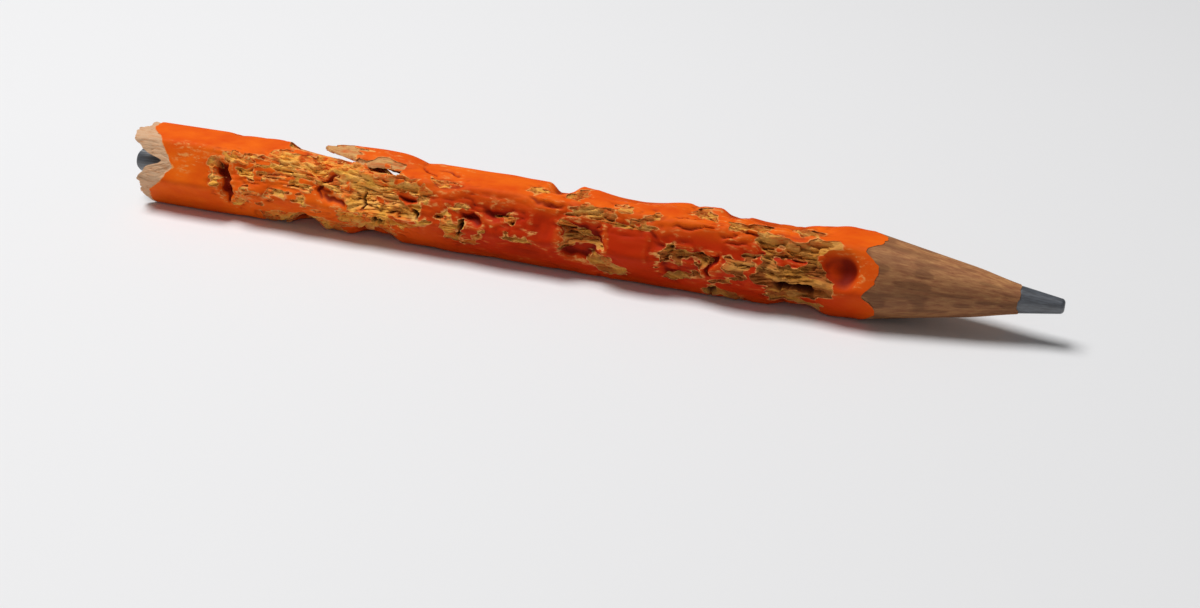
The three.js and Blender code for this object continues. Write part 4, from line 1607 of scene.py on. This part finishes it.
@dataclass
class RaisedSplinter:
    """The splinter at the top rear corner, lifted off the barrel at its free end and rooted at the other."""

    barrel: ChewedBarrel
    rows: int = 110
    columns: int = 48
    root: float = 30.6
    tip: float = 20.2
    fresh: float = 0.5
    # How much of the darker wood colour is laid evenly over the splinter.
    grime_and_shade: float = 0.3
    edge: Ripple = Ripple(0.2, 0.5, 1.0)
    # The free end is combed out into bundles of fibres.
    combed_length: float = 1.1
    combed_back: float = 0.2
    combed_from: float = 2.5
    degrees_a_millimetre: float = 16.0
    # The radius that turns distances from the splinter's middle into angles.
    bend_radius: float = 3.75
    back_gaps: float = 0.3
    under_gaps: float = 0.3
    least_thickness: float = 0.12
    under_shade: float = 0.06
    rubbed: Ripple = Ripple(1.0, 1.2, 0.35)
    rubbed_share: float = 0.8

    def build(self, finishes: Sequence[bpy.types.Material]) -> bpy.types.Object:
        """Makes the splinter as a closed sleeve: over its back from edge to edge, and back underneath.

        Args:
            finishes: Gnawed wood.

        Returns:
            The splinter.
        """
        barrel, split = self.barrel, self.barrel.split
        share = np.linspace(0.0, 1.0, self.columns + 1)[None, :]
        even = np.linspace(self.tip, self.root, self.rows + 1)[:, None]
        near, far = split.read(split.near_edge, even), split.read(split.far_edge, even)
        ragged = self.edge.at(barrel.ragged, even, 0.0 * even)
        aside = far - ragged + (near - far + 2 * ragged) * share
        comb = barrel.bundles.height(0.0 * aside, split.facing + aside * self.degrees_a_millimetre)
        combed = smooth_step(even, self.tip + self.combed_from, self.tip)
        along = even + (self.combed_length * comb - self.combed_back) * combed
        around = split.facing + np.degrees(np.arcsin(np.clip(aside / self.bend_radius, -0.95, 0.95)))
        outside = barrel.lacquer_outside(along, around)
        margin = np.minimum(barrel.torn_margin(along, around, outside), FAR)
        gaps = self.back_gaps * (1.0 - barrel.strands.height(along, around)) - 0.05
        back = barrel.lacquer_inside(outside, margin) - smooth_step(margin, 0.05, -0.2) * gaps
        turn = np.radians(around - split.facing)
        level = back * np.cos(turn)
        fibres = self.under_gaps * (0.6 - barrel.bundles.height(along, around + 40.0))
        under = split.read(split.underside, along) + fibres
        under = np.minimum(under, level - self.least_thickness)
        beneath = split.facing + np.degrees(np.arctan2(back * np.sin(turn), under))
        beneath_radius = np.hypot(back * np.sin(turn), under)
        loop = [np.concatenate([top, low[:, ::-1], top[:, :1]], axis=1)
                for top, low in ((along, along), (around, beneath), (back, beneath_radius))]
        # Painted shade in the gaps of its back and on its underside.
        hollow = below_surroundings(back - barrel.hexagon(around), 4, 4)
        hollow = np.concatenate([hollow, np.full(under.shape, self.under_shade), hollow[:, :1]], axis=1)
        stain = self.rubbed_share * smooth_step(self.rubbed.at(barrel.sway, loop[0], loop[1]), 0.0, 0.5)
        grid = SheetGrid(self.rows, loop[0].shape[1] - 1)
        notes = {
            "hollow": hollow,
            "stain": stain,
            "fresh": np.full(stain.shape, self.fresh),
            "grime_and_shade": np.full(stain.shape, self.grime_and_shade),
        }
        grid.shape(barrel.places(*loop), notes)
        grid.close(cap=True)
        return finish_piece("raised_splinter", grid.mesh, finishes)


@dataclass
class LooseFibres:
    """Slivers that stand up from the gnawed wood, each rooted in it at one end."""

    barrel: ChewedBarrel
    count: int = 320
    seed: int = 77
    sides: int = 4
    steps: int = 4
    # Where slivers are tried, and how many tries there are for each.
    along: tuple[float, float] = (10.0, 70.0)
    around: tuple[float, float] = (-160.0, 160.0)
    tries: int = 16
    # They keep clear of lacquer over this length, and of tooth cuts.
    reach: float = 0.7
    clear_of_lacquer: float = 0.1
    clear_of_cuts: float = 0.4
    lengths: tuple[float, float] = (0.5, 1.3)
    rises: tuple[float, float] = (0.1, 0.4)
    swing: float = 0.25
    widths: tuple[float, float] = (0.07, 0.18)
    spike_width: float = 0.25
    bends: tuple[float, float] = (-0.1, 0.12)
    root_depth: float = 0.3
    least_height: float = 0.02
    # Along, around, way along the grain, length and rise of the larger spikes.
    spikes: Sequence[tuple[float, float, float, float, float]] = (
        (46.8, -20, -1.0, 0.6, 0.1), (21.6, -30, -1.0, 1.2, 0.02), (16.4, 148, 1.0, 1.3, 0.05),
        (17.2, 144, 1.0, 1.1, 0.1), (22.6, 146, 1.0, 1.0, 0.05), (58.6, -14, 1.0, 0.6, 0.2),
        (30.2, 30, -1.0, 1.2, 0.15), (26.2, 24, 1.0, 1.2, 0.1), (28.0, 130, 1.0, 1.2, 0.1),
    )

    def sliver(self, mesh: bmesh.types.BMesh, root: Vector, ahead: Vector, out: Vector,
               length: float, width: float, bend: float) -> None:
        """Adds one tapering sliver.

        Args:
            mesh: The mesh to add to.
            root: Its root, in metres.
            ahead: The way it points.
            out: The way it bends.
            length: Its length, in metres.
            width: Its width at the root, in metres.
            bend: How far its tip is bent out, in metres.
        """
        side = ahead.cross(out).normalized()
        flat = side.cross(ahead).normalized()
        turn = Matrix((side, flat * 0.5, ahead)).transposed().to_4x4()
        ring = bmesh.ops.create_circle(mesh, segments=self.sides, radius=width / 2,
                                       matrix=Matrix.Translation(root) @ turn)
        edges = list({edge for vert in ring["verts"] for edge in vert.link_edges})
        bmesh.ops.contextual_create(mesh, geom=edges)
        for step in range(1, self.steps + 1):
            share = step / self.steps
            grown = bmesh.ops.extrude_edge_only(mesh, edges=edges)["geom"]
            verts = [item for item in grown if isinstance(item, bmesh.types.BMVert)]
            edges = [item for item in grown if isinstance(item, bmesh.types.BMEdge)]
            edges = [edge for edge in edges if all(vert in verts for vert in edge.verts)]
            centre = sum((vert.co for vert in verts), Vector()) / len(verts)
            target = root + ahead * (length * share) + out * (bend * share**2)
            taper = (1.1 - share**2) / (1.1 - (share - 1 / self.steps) ** 2)
            for vert in verts:
                vert.co = target + (vert.co - centre) * taper
        bmesh.ops.contextual_create(mesh, geom=edges)

    def build(self, finishes: Sequence[bpy.types.Material]) -> bpy.types.Object:
        """Scatters the slivers over the bare wood, and sets the larger spikes.

        Args:
            finishes: Gnawed wood.

        Returns:
            All slivers as one piece.
        """
        barrel = self.barrel
        draw = np.random.default_rng(self.seed)
        along = draw.uniform(*self.along, self.count * self.tries)
        around = draw.uniform(*self.around, self.count * self.tries)
        margin = np.max([barrel.torn_margin(place, around, barrel.lacquer_outside(place, around))
                         for place in (along - self.reach, along, along + self.reach)], axis=0)
        clear = (margin < -self.clear_of_lacquer) & (barrel.cut_margin(along, around) < -self.clear_of_cuts)
        slivers = [(along[i], around[i], draw.choice((-1.0, 1.0)), draw.uniform(*self.lengths),
                    draw.uniform(*self.rises), draw.normal(0.0, self.swing), draw.uniform(*self.widths))
                   for i in np.flatnonzero(clear)[:self.count]]
        slivers += [(*spike, 0.0, self.spike_width) for spike in self.spikes]
        along, around = np.array([sliver[:2] for sliver in slivers]).T
        radius = barrel.wood_outside(along, around)[0] - self.root_depth
        roots = barrel.places(along, around, radius)
        room = 0.9 * (barrel.hexagon(around) - radius)
        mesh = bmesh.new()
        for root, free, (_, turn, way, length, rise, swing, width) in zip(roots, room, slivers):
            angle = math.radians(turn)
            out = Vector((0.0, -math.sin(angle), math.cos(angle)))
            side = out.cross(Vector((1.0, 0.0, 0.0)))
            ahead = (Vector((way, 0.0, 0.0)) + out * rise + side * swing).normalized()
            bend = min(draw.uniform(*self.bends), free)
            self.sliver(mesh, Vector(root), ahead, out, length * MM, width * MM, bend * MM)
        for vert in mesh.verts:
            vert.co.z = max(vert.co.z, self.least_height * MM)
        bmesh.ops.recalc_face_normals(mesh, faces=mesh.faces[:])
        return finish_piece("loose_fibres", mesh, finishes, sharp=35.0)


@dataclass
class GraphiteLead:
    """The lead: a rod broken off at the rear, turned to a cone in front of the wood and worn at its tip."""

    barrel: ChewedBarrel
    columns: int = 96
    rod_rows: int = 60
    cone_rows: int = 40
    broken: float = 0.55
    broken_reach: float = 1.2
    # Rings of the two ends, as shares of their radius.
    rear_rings: tuple[float, ...] = (0.0, 0.25, 0.5, 0.75, 0.92)
    tip_rings: tuple[float, ...] = (0.66, 0.33, 0.0)
    worn_rows: int = 8
    turning: Ripple = Ripple(0.01, 2.0, 0.9)
    turned_along: tuple[float, float] = (82.0, 86.0)

    def build(self, finishes: Sequence[bpy.types.Material]) -> bpy.types.Object:
        """Makes the lead as rows from the middle of its broken end to the middle of its tip.

        Args:
            finishes: Graphite.

        Returns:
            The lead.
        """
        length = self.barrel.length
        around = np.linspace(-180.0, 180.0, self.columns + 1)[None, :]
        curve = np.linspace(0.0, math.pi / 2, self.worn_rows)
        nose = np.linspace(0.0, 1.0, self.cone_rows)[1:-1]
        round_along = length - WORN_TIP_ROUNDING * (1 - np.sin(curve))
        round_radius = WORN_TIP_RADIUS - WORN_TIP_ROUNDING * (1 - np.cos(curve))
        along = np.concatenate([
            np.zeros(len(self.rear_rings)),
            np.linspace(0.1, WOOD_FRONT_ALONG, self.rod_rows),
            WOOD_FRONT_ALONG + (round_along[0] - WOOD_FRONT_ALONG) * nose,
            round_along,
            np.full(len(self.tip_rings), length),
        ])[:, None]
        radii = np.concatenate([
            np.array(self.rear_rings) * LEAD_RADIUS,
            np.full(self.rod_rows, LEAD_RADIUS),
            LEAD_RADIUS + (WORN_TIP_RADIUS - LEAD_RADIUS) * nose,
            round_radius,
            round_radius[-1] * np.array(self.tip_rings),
        ])[:, None]
        noise = self.barrel.ragged
        rough = self.broken * smooth_step(along, self.broken_reach, 0.0)
        rough = rough * (1.0 + 0.7 * radii / LEAD_RADIUS * noise.at(radii * 2.0, around, 0.7, 3.0)) * 0.8
        along, radii, around = np.broadcast_arrays(along + rough, radii, around)
        scored = self.turning.height + self.turning.at(noise, along, around)
        turned = 1.0 - scored * smooth_step(along, *self.turned_along)
        grid = SheetGrid(along.shape[0] - 1, self.columns)
        grid.shape(self.barrel.places(along, around, radii * turned))
        grid.close(cap=False)
        return finish_piece(
            "graphite_lead_rod", grid.mesh, finishes, ["graphite_lead"], sharp=35.0)


@dataclass(frozen=True)
class SoftLamp:
    """A square soft lamp: its place and the length of its side in metres, and its power in watts."""

    name: str
    place: tuple[float, float, float]
    side: float
    power: float

    def build(self) -> None:
        """Adds the lamp, facing the middle of the stub."""
        light = bpy.data.lights.new(self.name, "AREA")
        light.energy = self.power
        light.size = self.side
        lamp = bpy.data.objects.new(self.name, light)
        lamp.location = self.place
        lamp.rotation_euler = Vector(self.place).to_track_quat("Z", "Y").to_euler()
        bpy.context.scene.collection.objects.link(lamp)


@dataclass
class Studio:
    """A plain pale floor, soft light from above and the camera."""

    floor_side: float = 1.6
    floor_colour: str = "E9E9EA"
    floor_roughness: float = 0.7
    view_angle: float = 44.0
    azimuth: float = 20.42
    elevation: float = 28.25
    distance: float = 135.8
    target: tuple[float, float, float] = (4.25, 0.0, -3.76)
    sensor_width: float = 36.0
    nearest: float = 0.005
    world_colour: str = "FFFFFF"
    world_strength: float = 0.14
    lamps: Sequence[SoftLamp] = (
        SoftLamp("overhead_softbox", (-0.16, 0.02, 0.5), 0.26, 2.75),
        SoftLamp("front_fill", (0.2, -0.5, 0.25), 0.3, 0.08),
    )

    def floor(self) -> None:
        """Makes the floor."""
        mesh = bmesh.new()
        bmesh.ops.create_grid(mesh, x_segments=1, y_segments=1, size=self.floor_side / 2)
        data = bpy.data.meshes.new("floor")
        mesh.to_mesh(data)
        mesh.free()
        material = bpy.data.materials.new("paper_white_matt")
        material.use_nodes = True
        shader = material.node_tree.nodes["Principled BSDF"]
        shader.inputs["Base Color"].default_value = linear(self.floor_colour)
        shader.inputs["Roughness"].default_value = self.floor_roughness
        data.materials.append(material)
        floor = bpy.data.objects.new("floor", data)
        bpy.context.scene.collection.objects.link(floor)
        floor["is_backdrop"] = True

    def camera(self) -> None:
        """Adds the camera at the photograph's viewing angle."""
        data = bpy.data.cameras.new("camera")
        data.sensor_width = self.sensor_width
        data.lens = data.sensor_width / 2 / math.tan(math.radians(self.view_angle) / 2)
        data.clip_start = self.nearest
        azimuth, elevation = math.radians(self.azimuth), math.radians(self.elevation)
        level = math.cos(elevation)
        back = Vector((math.sin(azimuth) * level, -math.cos(azimuth) * level, math.sin(elevation)))
        camera = bpy.data.objects.new("camera", data)
        camera.location = (Vector(self.target) + back * self.distance) * MM
        camera.rotation_euler = back.to_track_quat("Z", "Y").to_euler()
        bpy.context.scene.collection.objects.link(camera)
        bpy.context.scene.camera = camera

    def build(self) -> None:
        """Sets the stage."""
        scene = bpy.context.scene
        scene.view_settings.view_transform = "Standard"
        world = bpy.data.worlds.new("soft_white")
        world.use_nodes = True
        background = world.node_tree.nodes["Background"]
        background.inputs["Color"].default_value = linear(self.world_colour)
        background.inputs["Strength"].default_value = self.world_strength
        scene.world = world
        self.floor()
        for lamp in self.lamps:
            lamp.build()
        self.camera()


def main() -> None:
    """Loads the frame, builds the pencil's pieces in order and sets the stage."""
    logging.basicConfig(level=logging.INFO, format="%(name)s: %(message)s")
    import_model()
    solid_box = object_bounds()
    low, high = solid_box
    barrel = ChewedBarrel(length=(high.x - low.x) / MM)
    gnawed, sharpened = GnawedCedar().make(), SharpenedCedar().make()
    casing = WoodCasing(barrel)
    pieces = [casing.build(side, [gnawed, sharpened]) for side in SlatSide]
    pieces.append(GraphiteLead(barrel).build([FiredGraphite().make()]))
    pieces.append(LacquerCoat(barrel).build([DippedLacquer().make(), CreamUndercoat().make()]))
    pieces.append(RaisedSplinter(barrel).build([gnawed]))
    pieces.append(LooseFibres(barrel).build([gnawed]))
    for piece in pieces:
        LOG.info("%s: %d triangles", piece.name, sum(len(face.vertices) - 2 for face in piece.data.polygons))
    Studio().build()


if __name__ == "__main__":
    main()
